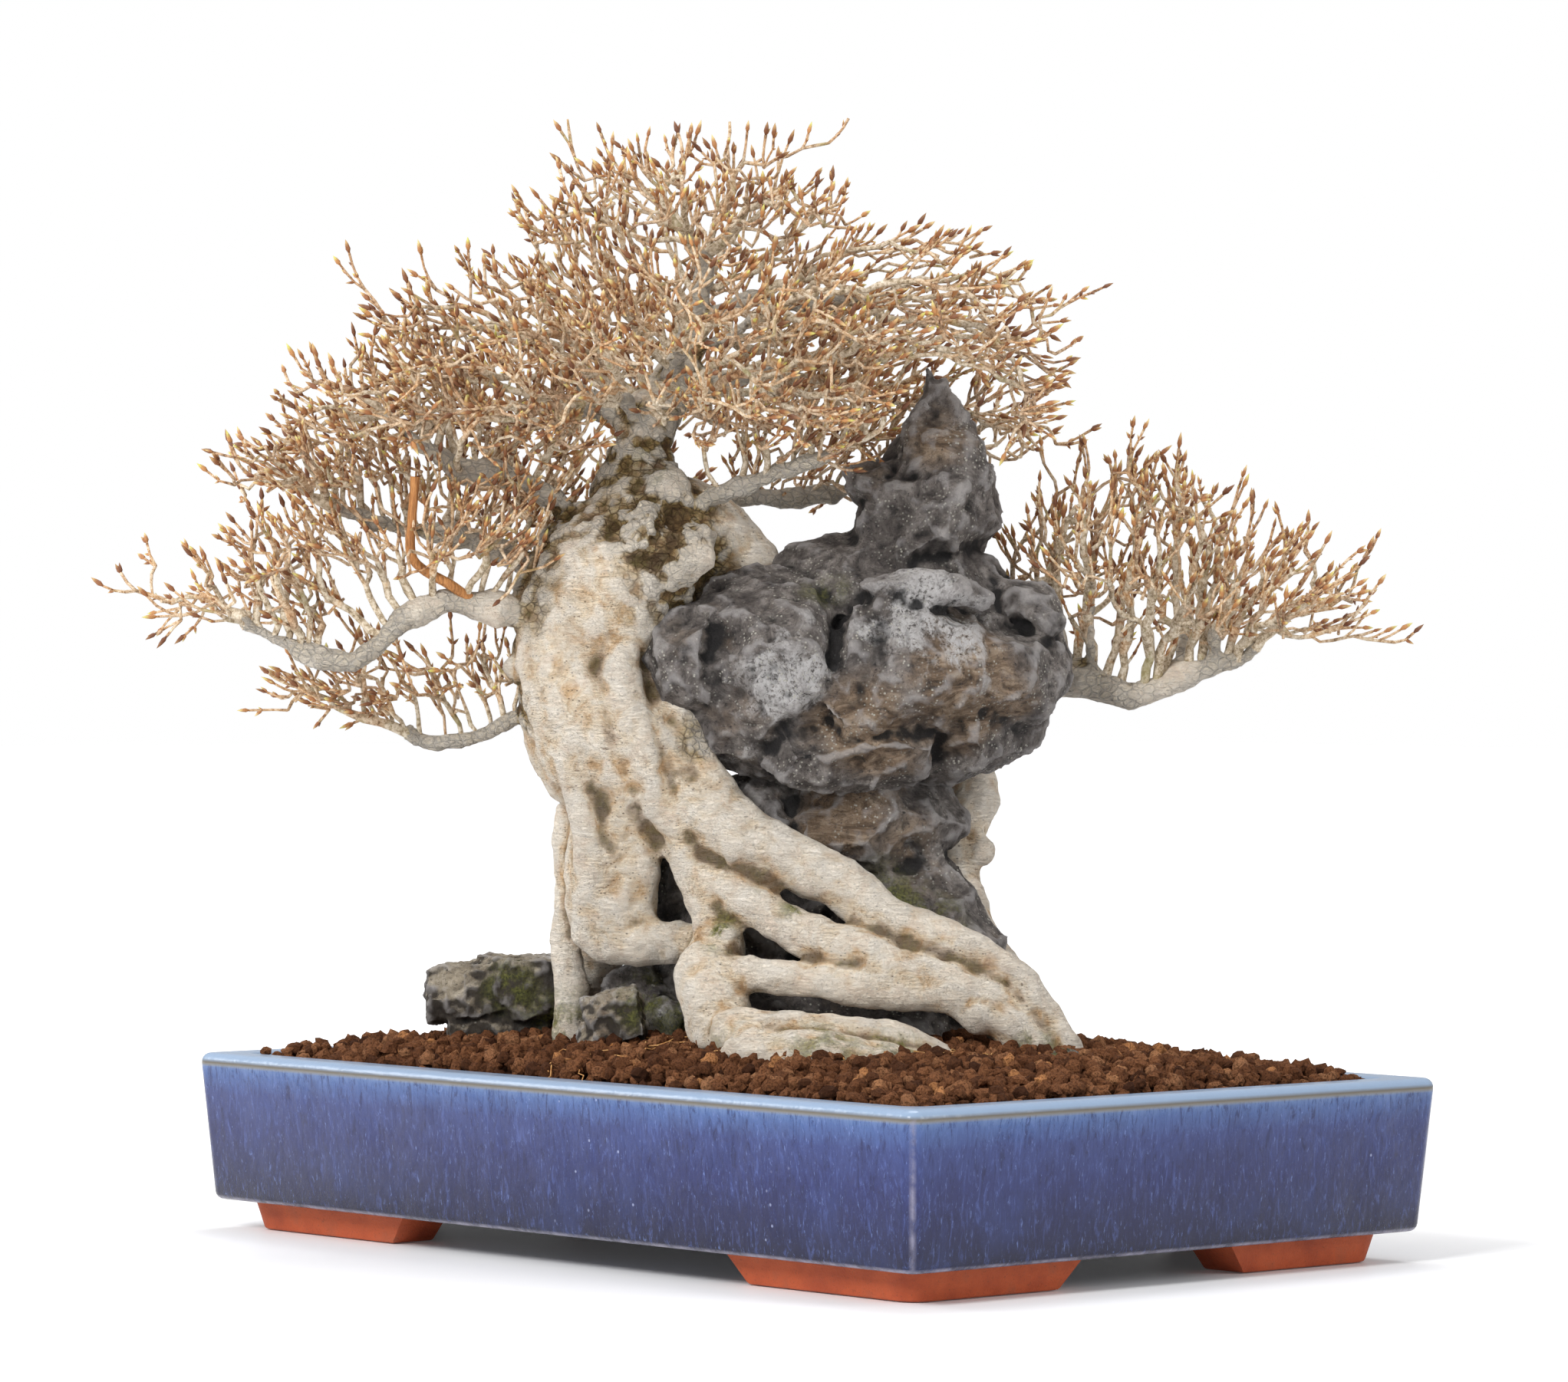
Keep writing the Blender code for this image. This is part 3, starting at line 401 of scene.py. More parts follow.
def barkMaterial():
    n = Finish("paleBark", roughness=0.7, specular=0.25)
    broad = n.noise(20, 5, 0.6)
    mottled = n.noise(80, 7, 0.68, twist=0.6)
    smoothBark = n.ramp(mottled, (0.26, (0.4, 0.21, 0.09)), (0.38, (0.66, 0.45, 0.26)),
                        (0.50, (0.83, 0.69, 0.51)), (0.64, (0.91, 0.82, 0.69)))
    roughBark = n.ramp(n.noise(150, 7, 0.75, twist=1.6), (0.32, (0.045, 0.028, 0.01)),
                       (0.46, (0.25, 0.165, 0.06)), (0.58, (0.43, 0.32, 0.14)), (0.74, (0.68, 0.56, 0.34)))
    old = n.math("ADD", n.attribute("old"), n.between(broad, 0.3, 0.7, -0.30, 0.30))
    colour = n.mix(n.between(old, 0.30, 0.75), smoothBark, roughBark)
    greyed = n.between(n.noise(34, 4), 0.50, 0.70, 0.0, 0.5)
    colour = n.mix(greyed, colour, (0.56, 0.51, 0.45))
    dashes = n.noise(1.0, 5, 0.7, n.stretched((150, 150, 620)), 0.8)
    colour = n.mix(n.between(dashes, 0.60, 0.68, 0.0, 0.75), colour, (0.15, 0.07, 0.028))
    specks = n.cells(1.0, n.stretched((330, 330, 520)))
    speckled = n.math("MULTIPLY", n.between(specks, 0.26, 0.12), n.between(n.noise(140, 3), 0.44, 0.56))
    colour = n.mix(n.math("MULTIPLY", speckled, 0.8), colour, (0.11, 0.055, 0.022))
    # dark crease lines, also sunk in the bump: painted shade in the creases
    wrinkles = n.noise(1.0, 6, 0.7, n.stretched((55, 55, 300), (0.15, 0.1, 0)), 2.6)
    creased = n.math("MULTIPLY", n.between(n.math("ABSOLUTE", n.math("SUBTRACT", wrinkles, 0.5)), 0.012, 0.0),
                     n.between(broad, 0.40, 0.55))
    colour = n.mix(n.math("MULTIPLY", creased, 0.7), colour, (0.12, 0.06, 0.025))
    # dark crack lines on the old bark, also sunk in the bump: painted shade in the cracks
    cracks = n.cells(1.0, n.stretched((210, 210, 260)), "DISTANCE_TO_EDGE")
    cracked = n.math("MULTIPLY", n.between(cracks, 0.12, 0.0), n.between(old, 0.30, 0.70))
    colour = n.mix(n.math("MULTIPLY", cracked, 0.85), colour, (0.05, 0.03, 0.012))
    hollow = n.attribute("hollow")
    # hollows turn ochre at their rims and near black deeper in: painted shade
    colour = n.mix(n.between(hollow, 0.58, 0.74, 0.0, 0.40), colour, (0.34, 0.18, 0.08))
    colour = n.mix(n.between(hollow, 0.74, 1.00, 0.0, 0.72), colour, (0.075, 0.044, 0.02))
    # raised places are lightened: painted highlight
    colour = n.mix(n.between(hollow, 0.46, 0.20, 0.0, 0.55), colour, (0.94, 0.88, 0.79))
    mossy = n.math("ADD", n.attribute("mossy"), n.between(hollow, 0.62, 0.85, 0.0, 0.25))
    mossy = n.math("MULTIPLY", mossy, n.between(n.noise(75, 6, 0.7), 0.44, 0.56))
    mossColour = n.ramp(n.noise(700, 3), (0.35, (0.05, 0.055, 0.01)), (0.65, (0.26, 0.25, 0.05)))
    colour = n.mix(mossy, colour, mossColour)
    relief = n.math("ADD", n.math("MULTIPLY", mottled, 0.9), n.math("MULTIPLY", dashes, -0.5))
    sunk = n.math("ADD", n.math("MULTIPLY", creased, 0.25), n.math("MULTIPLY", cracked, 0.35))
    relief = n.math("SUBTRACT", relief, sunk)
    normal = n.bump(relief, 0.0050, 1.0)
    normal = n.bump(n.noise(420, 5, 0.75), 0.0014, 0.8, normal)
    return n.finish(colour, normal)


def twigMaterial():
    n = Finish("twigBark", roughness=0.7, specular=0.25)
    thick = n.attribute("thick")
    speck = n.noise(380, 6, 0.75)
    broad = n.noise(26, 3)
    young = n.ramp(n.math("ADD", speck, n.between(broad, 0.3, 0.7, -0.16, 0.16)),
                   (0.34, (0.15, 0.056, 0.02)), (0.45, (0.43, 0.2, 0.075)), (0.56, (0.64, 0.385, 0.185)),
                   (0.68, (0.83, 0.68, 0.49)))
    aged = n.ramp(speck, (0.34, (0.13, 0.088, 0.046)), (0.45, (0.44, 0.34, 0.22)), (0.56, (0.72, 0.62, 0.48)),
                  (0.70, (0.86, 0.79, 0.67)))
    colour = n.mix(n.between(thick, 0.09, 0.19), young, aged)
    colour = n.mix(n.between(n.noise(60, 5), 0.58, 0.70, 0.0, 0.6), colour, (0.3, 0.27, 0.1))
    return n.finish(colour, n.bump(speck, 0.0012, 0.9))


def budMaterial():
    n = Finish("budScales", roughness=0.5, specular=0.35)
    tone = n.attribute("tone")
    along = n.attribute("along")
    brown = n.ramp(tone, (0.0, (0.12, 0.042, 0.018)), (0.6, (0.3, 0.118, 0.042)), (1.0, (0.48, 0.23, 0.085)))
    tip = n.ramp(tone, (0.0, (0.18, 0.07, 0.03)), (0.45, (0.48, 0.3, 0.12)), (0.8, (0.64, 0.5, 0.24)),
                 (1.0, (0.54, 0.52, 0.12)))
    colour = n.mix(n.between(along, 0.50, 0.80), brown, tip)
    return n.finish(colour, n.bump(n.noise(1500, 2), 0.0003, 0.5))


def stoneMaterial(name, dark, mid, light, pale, shadeSides):
    n = Finish(name, roughness=0.72, specular=0.4)
    broad = n.noise(18, 7, 0.7, twist=1.0)
    crag = n.noise(70, 8, 0.75, twist=0.7)
    fine = n.noise(420, 6, 0.8)
    colour = n.ramp(crag, (0.34, dark), (0.50, mid), (0.64, light))
    bedding = n.noise(1.0, 8, 0.75, n.stretched((40, 40, 110), (0.3, 0.2, 0)), 1.2)
    brown = n.ramp(bedding, (0.34, (0.045, 0.028, 0.018)), (0.48, (0.24, 0.16, 0.1)),
                   (0.62, (0.5, 0.38, 0.27)))
    rusted = n.between(n.noise(17, 4, 0.6, n.stretched((1, 1, 1), (0.6, 0.9, 0.2))), 0.44, 0.68, -0.15, 0.55)
    rusted = n.math("ADD", n.attribute("brown"), rusted)
    colour = n.mix(n.between(rusted, 0.25, 0.75), colour, brown)
    colour = n.mix(n.between(fine, 0.46, 0.34, 0.0, 0.9), colour, (0.014, 0.012, 0.016))
    paleness = n.math("ADD", n.math("MULTIPLY", n.attribute("pale"), 0.22), broad)
    white = n.math("MULTIPLY", n.between(paleness, pale + 0.05, pale + 0.14), n.between(fine, 0.40, 0.52))
    colour = n.mix(white, colour, (0.68, 0.66, 0.65))
    veins = n.noise(1.0, 7, 0.8, n.stretched((46, 46, 100), (0.2, 0.35, 0)), 2.2)
    colour = n.mix(n.between(veins, 0.60, 0.66, 0.0, 0.6), colour, (0.43, 0.37, 0.33))
    specks = n.math("MULTIPLY", n.between(n.cells(430), 0.30, 0.16), n.between(n.noise(50, 3), 0.46, 0.58))
    colour = n.mix(specks, colour, (0.62, 0.6, 0.52))
    if shadeSides:
        # faces that don't look up are darkened: painted shade on the pale stones' sides and undersides
        top = n.math("ADD", n.attribute("up"), n.between(n.noise(60, 5), 0.35, 0.65, -0.3, 0.3))
        colour = n.mix(n.between(top, 0.45, 0.10, 0.0, 0.9), colour, (0.035, 0.026, 0.02))
    hollow = n.attribute("hollow")
    # hollows and cracks go near black: painted shade
    colour = n.mix(n.between(hollow, 0.58, 0.92, 0.0, 0.94), colour, (0.01, 0.009, 0.01))
    # raised places are lightened: painted highlight
    colour = n.mix(n.between(hollow, 0.42, 0.12, 0.0, 0.55), colour, (0.56, 0.53, 0.52))
    moss = n.math("MULTIPLY", n.attribute("mossy"), n.between(n.noise(80, 6, 0.7), 0.42, 0.54))
    mossColour = n.ramp(n.noise(700, 3), (0.35, (0.04, 0.045, 0.01)), (0.65, (0.23, 0.23, 0.05)))
    colour = n.mix(moss, colour, mossColour)
    normal = n.bump(crag, 0.0060, 1.0)
    normal = n.bump(fine, 0.0022, 1.0, normal)
    return n.finish(colour, normal)


def wireMaterial():
    n = Finish("softWire", roughness=0.38, metallic=1.0)
    scuff = n.noise(1500, 3)
    colour = n.ramp(scuff, (0.35, (0.34, 0.31, 0.27)), (0.65, (0.6, 0.57, 0.52)))
    return n.finish(colour, n.bump(scuff, 0.0002, 0.4))


def screenMaterial():
    n = Finish("screenPlastic", roughness=0.55)
    dust = n.noise(700, 4)
    colour = n.ramp(dust, (0.45, (0.012, 0.012, 0.012)), (0.8, (0.09, 0.05, 0.03)))
    return n.finish(colour, n.bump(dust, 0.0002, 0.5))


glaze, clay, grit, bark = glazeMaterial(), clayMaterial(), gritMaterial(), barkMaterial()
twigBark, budScales = twigMaterial(), budMaterial()
greyStone = stoneMaterial("greyStone", (0.044, 0.037, 0.035), (0.178, 0.154, 0.14), (0.4, 0.36, 0.33),
                          pale=0.54, shadeSides=False)
paleStone = stoneMaterial("paleStone", (0.09, 0.065, 0.042), (0.44, 0.37, 0.27), (0.72, 0.64, 0.52),
                          pale=0.46, shadeSides=True)
wire, screen = wireMaterial(), screenMaterial()
for nodeName, obj in frame["nodes"].items():
    if "screen_clip" in nodeName or "tie_wire" in nodeName:
        obj.data.materials[0] = wire
    elif "drainage_screen" in nodeName:
        obj.data.materials[0] = screen
print("bonsai: materials ready")


view = {"place": (2.305, -2.120, 0.294), "azimuth": 47.58, "tilt": -0.25, "roll": 0.26, "lens": 141.9}
cameraData = bpy.data.cameras.new("camera")
cameraData.lens = view["lens"]
cameraData.sensor_width = 36
camera = added("camera", cameraData)
camera.matrix_world = (Matrix.Translation(view["place"])
                       @ Matrix.Rotation(math.radians(view["azimuth"]), 4, "Z")
                       @ Matrix.Rotation(math.radians(90 + view["tilt"]), 4, "X")
                       @ Matrix.Rotation(math.radians(view["roll"]), 4, "Z"))
bpy.context.scene.camera = camera

# each light's place, size and power
lights = {"key": ((0.9, -3.0, 2.1), 1.0, 96), "left": ((-2.0, -1.4, 1.3), 1.0, 22),
          "right": ((2.7, 0.9, 1.4), 1.2, 22), "top": ((-0.4, 0.5, 2.6), 1.2, 30)}
lightsAim = Vector((0, 0, 0.22))
for lightName, (place, size, power) in lights.items():
    data = bpy.data.lights.new(lightName, "AREA")
    data.size = size
    data.energy = power
    lamp = added(lightName, data)
    lamp.location = place
    lamp.rotation_euler = (lightsAim - Vector(place)).to_track_quat("-Z", "Y").to_euler()
world = bpy.data.worlds.new("world")
world.use_nodes = True
worldTree = world.node_tree
backdrop = worldTree.nodes["Background"]
backdrop.inputs["Color"].default_value = (1, 1, 1, 1)
worldPath = worldTree.nodes.new("ShaderNodeLightPath")
worldLevel = worldTree.nodes.new("ShaderNodeMapRange")
worldLevel.inputs["To Min"].default_value = 0.55      # what lights the tree
worldLevel.inputs["To Max"].default_value = 1.0       # what shows behind it
worldTree.links.new(worldPath.outputs["Is Camera Ray"], worldLevel.inputs["Value"])
worldTree.links.new(worldLevel.outputs["Result"], backdrop.inputs["Strength"])
bpy.context.scene.world = world
bpy.context.scene.view_settings.view_transform = "Standard"

bpy.ops.mesh.primitive_plane_add(size=30, location=(0, 0, -0.0005))
floor = bpy.context.object
floor.name = "floor"
bake(floor)
paper = Finish("floorPaper", roughness=0.45, specular=0.2)
paper.shader.inputs["Base Color"].default_value = (0.93, 0.93, 0.94, 1)
paper.shader.inputs["Emission Color"].default_value = (1, 1, 1, 1)
away = paper.add("ShaderNodeVectorMath", Vector=paper.place)
away.operation = "LENGTH"
glow = paper.between(away.outputs["Value"], 0.45, 2.6, 0.03, 0.62)      # the paper fades into the backdrop
paper.feed(paper.shader.inputs["Emission Strength"], glow)
floor.data.materials.append(paper.material)
print("bonsai: camera, lights and floor set")

# sizes of the fired body that the frame's plain pot doesn't have
potBody = {"cornerSteps": 6, "shoulder": 0.0055, "shoulderSteps": 5, "innerEdge": 0.0035,
           "innerCorner": 0.007, "underEdge": 0.004, "floorTop": 0.025, "drain": 0.020, "drainGap": 0.290,
           "glaze": 0.0008}
flush = 1e-5        # nearer than this counts as level


def makePotBody():
    height = pot["height"] - pot["foot"]
    size = (pot["length"] + potBody["glaze"], pot["width"] + potBody["glaze"], height)
    body = block("potBody", size, (0, 0, pot["foot"] + height / 2))
    selectFaces(body, lambda c, n: n.z < -0.9)
    drawn = [1 - 2 * pot["lean"] / pot[side] for side in ("length", "width")]
    bpy.ops.transform.resize(value=(*drawn, 1))
    objectMode()
    bevelled(body, lambda a, b: abs(a.z - b.z) > 0.05, pot["corner"], potBody["cornerSteps"])
    for level, offset, steps in ((pot["height"], potBody["shoulder"], potBody["shoulderSteps"]),
                                 (pot["foot"], potBody["underEdge"], 4)):
        bevelled(body, lambda a, b: abs(a.z - level) < flush and abs(b.z - level) < flush, offset, steps)
    inX, inY = pot["length"] / 2 - pot["lip"], pot["width"] / 2 - pot["lip"]
    cavity = block("cavity", (2 * inX, 2 * inY, 0.1), (0, 0, potBody["floorTop"] + 0.05))
    bevelled(cavity, lambda a, b: abs(a.z - b.z) > 0.05, potBody["innerCorner"], 6)
    cutters = [cavity]
    for x in (-potBody["drainGap"] / 2, potBody["drainGap"] / 2):
        bpy.ops.mesh.primitive_cylinder_add(vertices=48, radius=potBody["drain"], depth=0.04,
                                            location=(x, 0, pot["foot"]))
        cutters.append(bpy.context.object)
    for cutter in cutters:
        modify(body, "BOOLEAN", operation="DIFFERENCE", object=cutter)
    remove(*cutters)

    def onMouth(v):
        return abs(v.z - pot["height"]) < flush and abs(v.x) < inX + 1e-4 and abs(v.y) < inY + 1e-4

    bevelled(body, lambda a, b: onMouth(a) and onMouth(b), potBody["innerEdge"], 4)
    return body


def edgeWearAndHighlight(obj):        # the upright corners get a painted highlight; the glaze is thin along the lowest edge
    values = []
    for vert in obj.data.vertices:
        lost = pot["lean"] * (pot["height"] - vert.co.z) / (pot["height"] - pot["foot"])
        inX, inY = pot["length"] / 2 - lost - abs(vert.co.x), pot["width"] / 2 - lost - abs(vert.co.y)
        atCorner = max(inX, inY) < 0.0032 and vert.co.z < pot["height"] - 0.004
        atFoot = 0.0002 < vert.co.z - pot["foot"] < 0.0022
        values.append(1.0 if atFoot else 0.75 if atCorner else 0.0)
    paint(obj, "edge", values)


foot = {"long": 0.132, "short": 0.113, "band": 0.030, "inset": 0.0125, "draw": 0.015, "slope": 0.004,
        "corner": 0.012, "edge": 0.0012, "sunk": 0.002}


def makeFoot():
    cornerX = pot["length"] / 2 - pot["lean"] - foot["inset"]
    cornerY = -(pot["width"] / 2 - pot["lean"] - foot["inset"])
    band, top = foot["band"], pot["foot"] + foot["sunk"]
    piece = block("foot", (band, band, top), (cornerX - band / 2, cornerY + band / 2, top / 2))
    for test, move in ((lambda c, n: n.x < -0.9, (band - foot["long"], 0, 0)),
                       (lambda c, n: n.y > 0.9 and c.x > cornerX - band, (0, foot["short"] - band, 0))):
        selectFaces(piece, test)
        bpy.ops.mesh.extrude_region_move(TRANSFORM_OT_translate={"value": move})
        objectMode()
    for vert in piece.data.vertices:        # the ends and the outside draw in towards the table
        if vert.co.z < 0.001:
            if vert.co.x < cornerX - band - 0.01:
                vert.co.x += foot["draw"]
            if vert.co.y > cornerY + band + 0.01:
                vert.co.y -= foot["draw"]
            if vert.co.x > cornerX - 0.001:
                vert.co.x -= foot["slope"]
            if vert.co.y < cornerY + 0.001:
                vert.co.y += foot["slope"]
    bevelled(piece, lambda a, b: abs(a.z - b.z) > 0.01 and a.x > cornerX - 0.006 and a.y < cornerY + 0.006,
             foot["corner"], 6)
    bevelled(piece, lambda a, b: abs(a.z) < flush and abs(b.z) < flush, foot["edge"], 2)
    smooth(piece, 35)
    return piece


body = makePotBody()
edgeWearAndHighlight(body)
smooth(body, 30)
done(body, glaze, "blue_glaze", "pot")
feet = [makeFoot()]
for sx, sy in ((-1, 1), (1, -1), (-1, -1)):
    copy = added("foot", feet[0].data.copy())
    copy.scale = (sx, sy, 1)
    bake(copy)
    if sx * sy < 0:         # one mirror turns it inside out, two don't
        pick(copy)
        bpy.ops.object.mode_set(mode="EDIT")
        bpy.ops.mesh.select_all(action="SELECT")
        bpy.ops.mesh.normals_make_consistent(inside=False)
        objectMode()
    feet.append(copy)
done(joined("potFeet", feet), clay, "blue_glaze", "pot")
print("bonsai: pot modelled")

# the trunk and each root: points of right, back, up and radius in the tree's frame
trunkChains = {
    "trunk": [(-0.075, 0, 0.137, 0.036), (-0.083, 0, 0.154, 0.041), (-0.098, 0, 0.167, 0.042),
              (-0.107, 0, 0.189, 0.041), (-0.111, 0, 0.21, 0.038), (-0.1, 0, 0.236, 0.045),
              (-0.092, 0, 0.256, 0.044), (-0.086, 0, 0.276, 0.031), (-0.084, 0.002, 0.295, 0.02),
              (-0.083, 0.003, 0.311, 0.017)],
    "burl": [(-0.07, -0.022, 0.262, 0.018), (-0.055, -0.03, 0.254, 0.018)],
    "leftColumn": [(-0.083, 0, 0.145, 0.032), (-0.095, -0.004, 0.11, 0.024),
                   (-0.096, -0.004, 0.085, 0.0235), (-0.098, -0.004, 0.069, 0.022)],
    "crossRoot": [(-0.102, -0.01, 0.068, 0.011), (-0.085, -0.013, 0.064, 0.0105),
                  (-0.06, -0.018, 0.062, 0.01), (-0.044, -0.03, 0.062, 0.011)],
    "edgeRoot": [(-0.116, 0.012, 0.13, 0.0095), (-0.1195, 0.01, 0.09, 0.0075), (-0.12, 0.005, 0.06, 0.0085),
                 (-0.118, 0, 0.03, 0.01), (-0.12, -0.002, -0.012, 0.009)],
    "greatRoot": [(-0.062, -0.015, 0.139, 0.021), (-0.038, -0.03, 0.121, 0.017),
                  (-0.016, -0.04, 0.109, 0.0155), (0.005, -0.047, 0.1, 0.0145),
                  (0.023, -0.052, 0.09, 0.013), (0.04, -0.057, 0.076, 0.013),
                  (0.066, -0.062, 0.065, 0.0125), (0.087, -0.066, 0.056, 0.0125),
                  (0.104, -0.07, 0.043, 0.013), (0.121, -0.073, 0.023, 0.011),
                  (0.136, -0.076, 0.002, 0.009), (0.146, -0.078, -0.014, 0.008)],
    "dropRoot": [(-0.058, -0.02, 0.115, 0.015), (-0.053, -0.028, 0.096, 0.012),
                 (-0.047, -0.036, 0.079, 0.011), (-0.042, -0.042, 0.063, 0.0155),
                 (-0.047, -0.052, 0.047, 0.0175), (-0.043, -0.064, 0.032, 0.017),
                 (-0.038, -0.076, 0.01, 0.016)],
    "plateRoot": [(-0.038, -0.08, 0.019, 0.015), (-0.02, -0.094, 0.017, 0.017), (0.005, -0.1, 0.015, 0.017),
                  (0.032, -0.1, 0.013, 0.016), (0.058, -0.097, 0.009, 0.0135),
                  (0.08, -0.09, -0.004, 0.011)],
    "middleRoot": [(-0.05, -0.03, 0.092, 0.013), (-0.03, -0.045, 0.086, 0.012),
                   (-0.014, -0.055, 0.076, 0.0115), (0.002, -0.062, 0.068, 0.0115),
                   (0.02, -0.068, 0.062, 0.013), (0.042, -0.072, 0.053, 0.0135),
                   (0.066, -0.076, 0.046, 0.013), (0.087, -0.079, 0.037, 0.0135),
                   (0.102, -0.081, 0.026, 0.013), (0.114, -0.082, 0.01, 0.011),
                   (0.122, -0.083, -0.01, 0.009)],
    "lowerRoot": [(-0.04, -0.052, 0.05, 0.01), (-0.022, -0.068, 0.049, 0.009),
                  (0.002, -0.075, 0.047, 0.0095), (0.027, -0.078, 0.044, 0.01),
                  (0.052, -0.078, 0.042, 0.011), (0.072, -0.079, 0.04, 0.011), (0.088, -0.08, 0.034, 0.01)],
    "farLeg": [(-0.104, 0.006, 0.2, 0.018), (-0.085, 0.028, 0.18, 0.023), (-0.05, 0.06, 0.178, 0.017),
               (0, 0.072, 0.174, 0.015), (0.055, 0.062, 0.162, 0.014), (0.088, 0.04, 0.14, 0.0145),
               (0.08, 0.03, 0.119, 0.014), (0.077, 0.025, 0.099, 0.0135), (0.082, 0.018, 0.081, 0.0125),
               (0.092, 0.006, 0.061, 0.012), (0.102, -0.01, 0.038, 0.012), (0.106, -0.02, 0, 0.01)],
    "backLeftRoot": [(-0.106, 0.004, 0.205, 0.016), (-0.1, 0.018, 0.165, 0.021),
                     (-0.094, 0.026, 0.125, 0.0215), (-0.104, 0.052, 0.07, 0.0165),
                     (-0.118, 0.074, 0.02, 0.014), (-0.13, 0.09, -0.026, 0.0105)],
    "backMiddleRoot": [(-0.095, 0.006, 0.225, 0.015), (-0.082, 0.022, 0.19, 0.02),
                       (-0.066, 0.036, 0.15, 0.0205), (-0.045, 0.074, 0.09, 0.016),
                       (-0.035, 0.098, 0.03, 0.0145), (-0.032, 0.11, -0.008, 0.012),
                       (-0.028, 0.122, -0.03, 0.01)],
}
# ridges and knobs that only show on the finished surface
barkChains = {
    "ridge1": [(-0.112, -0.006, 0.24, 0.012), (-0.126, -0.016, 0.205, 0.011), (-0.12, -0.024, 0.165, 0.009),
               (-0.11, -0.024, 0.125, 0.009), (-0.106, -0.018, 0.085, 0.008),
               (-0.104, -0.006, 0.07, 0.006)],
    "ridge2": [(-0.088, -0.018, 0.24, 0.01), (-0.094, -0.03, 0.205, 0.011), (-0.086, -0.034, 0.165, 0.012),
               (-0.072, -0.026, 0.135, 0.012), (-0.058, -0.024, 0.118, 0.012)],
    "ridge3": [(-0.07, -0.008, 0.225, 0.01), (-0.064, -0.02, 0.185, 0.012), (-0.052, -0.022, 0.15, 0.012),
               (-0.036, -0.028, 0.128, 0.011)],
    "columnRight": [(-0.08, -0.01, 0.14, 0.014), (-0.084, -0.014, 0.11, 0.012),
                    (-0.084, -0.012, 0.085, 0.012), (-0.086, -0.01, 0.066, 0.012)],
    "columnLeft": [(-0.1, -0.01, 0.14, 0.018), (-0.104, -0.01, 0.105, 0.015),
                   (-0.102, -0.01, 0.075, 0.016)],
    "shoulder": [(-0.07, 0.006, 0.285, 0.016), (-0.05, 0.01, 0.272, 0.02), (-0.034, 0.014, 0.256, 0.02),
                 (-0.018, 0.018, 0.24, 0.014), (-0.006, 0.016, 0.224, 0.008)],
    "footLeft": [(-0.112, -0.006, 0.086, 0.009), (-0.106, -0.009, 0.07, 0.013),
                 (-0.09, -0.012, 0.063, 0.0125), (-0.062, -0.018, 0.062, 0.011)],
    "backFill": [(-0.11, 0.014, 0.215, 0.03), (-0.1, 0.018, 0.185, 0.03), (-0.09, 0.02, 0.158, 0.026)],
    "shoulderFill": [(-0.1, 0, 0.25, 0.038), (-0.08, 0.002, 0.266, 0.034), (-0.058, 0.006, 0.27, 0.026),
                     (-0.04, 0.012, 0.262, 0.022)],
    "topStub": [(-0.087, 0.001, 0.27, 0.03), (-0.086, 0.002, 0.29, 0.024), (-0.084, 0.002, 0.306, 0.017)],
    "plateUnder": [(-0.032, -0.098, 0.01, 0.016), (-0.014, -0.113, 0.004, 0.021),
                   (0.014, -0.12, 0.002, 0.021), (0.04, -0.119, 0, 0.02), (0.062, -0.112, -0.002, 0.016),
                   (0.078, -0.104, -0.004, 0.012)],
    "backFork": [(-0.058, 0.052, 0.128, 0.012), (-0.07, 0.074, 0.09, 0.0105),
                 (-0.073, 0.096, 0.045, 0.0095), (-0.08, 0.112, 0.005, 0.008),
                 (-0.084, 0.12, -0.022, 0.007)],
    "armRidge": [(-0.098, 0.016, 0.202, 0.01), (-0.068, 0.05, 0.186, 0.0105), (-0.035, 0.071, 0.184, 0.009),
                 (-0.002, 0.08, 0.176, 0.0085), (0.035, 0.078, 0.172, 0.009), (0.072, 0.06, 0.156, 0.009),
                 (0.084, 0.046, 0.13, 0.008)],
    "leftShoulder": [(-0.112, -0.006, 0.262, 0.02), (-0.128, -0.004, 0.245, 0.017),
                     (-0.134, 0, 0.226, 0.015), (-0.131, 0.004, 0.198, 0.012)],
}
knobs = [(-0.078, -0.034, 0.268, 0.014), (-0.06, -0.036, 0.256, 0.013), (-0.096, -0.032, 0.254, 0.014),
         (-0.112, -0.02, 0.262, 0.014), (-0.12, -0.012, 0.248, 0.014), (-0.07, -0.016, 0.288, 0.014),
         (-0.143, -0.004, 0.2, 0.01), (-0.13, -0.016, 0.178, 0.01), (-0.08, 0.034, 0.25, 0.018),
         (-0.086, 0.02, 0.3, 0.013), (-0.04, -0.05, 0.066, 0.009), (0.087, -0.086, 0.03, 0.01),
         (0.005, 0.078, 0.182, 0.011), (-0.034, -0.042, 0.112, 0.009), (0.09, 0.022, 0.108, 0.008),
         (-0.126, 0.006, 0.152, 0.01)]
burl = [(-0.074, -0.03, 0.262, 0.03), (-0.11, -0.01, 0.262, 0.026), (-0.08, 0, 0.302, 0.02),
        (-0.13, 0, 0.232, 0.02), (-0.132, -0.004, 0.188, 0.016), (-0.056, -0.03, 0.225, 0.014)]


def eased(points, gap):         # a smooth run through the points
    points = [np.array(p, float) for p in points]
    points = [2 * points[0] - points[1], *points, 2 * points[-1] - points[-2]]
    out = []
    for i in range(1, len(points) - 2):
        a, b, c, d = points[i - 1:i + 3]
        steps = max(1, int(np.linalg.norm((c - b)[:3]) / gap))
        for t in (k / steps for k in range(steps)):
            out.append(0.5 * (2 * b + (c - a) * t + (2 * a - 5 * b + 4 * c - d) * t * t
                              + (3 * b - 3 * c + d - a) * t ** 3))
    out.append(points[-2])
    return out


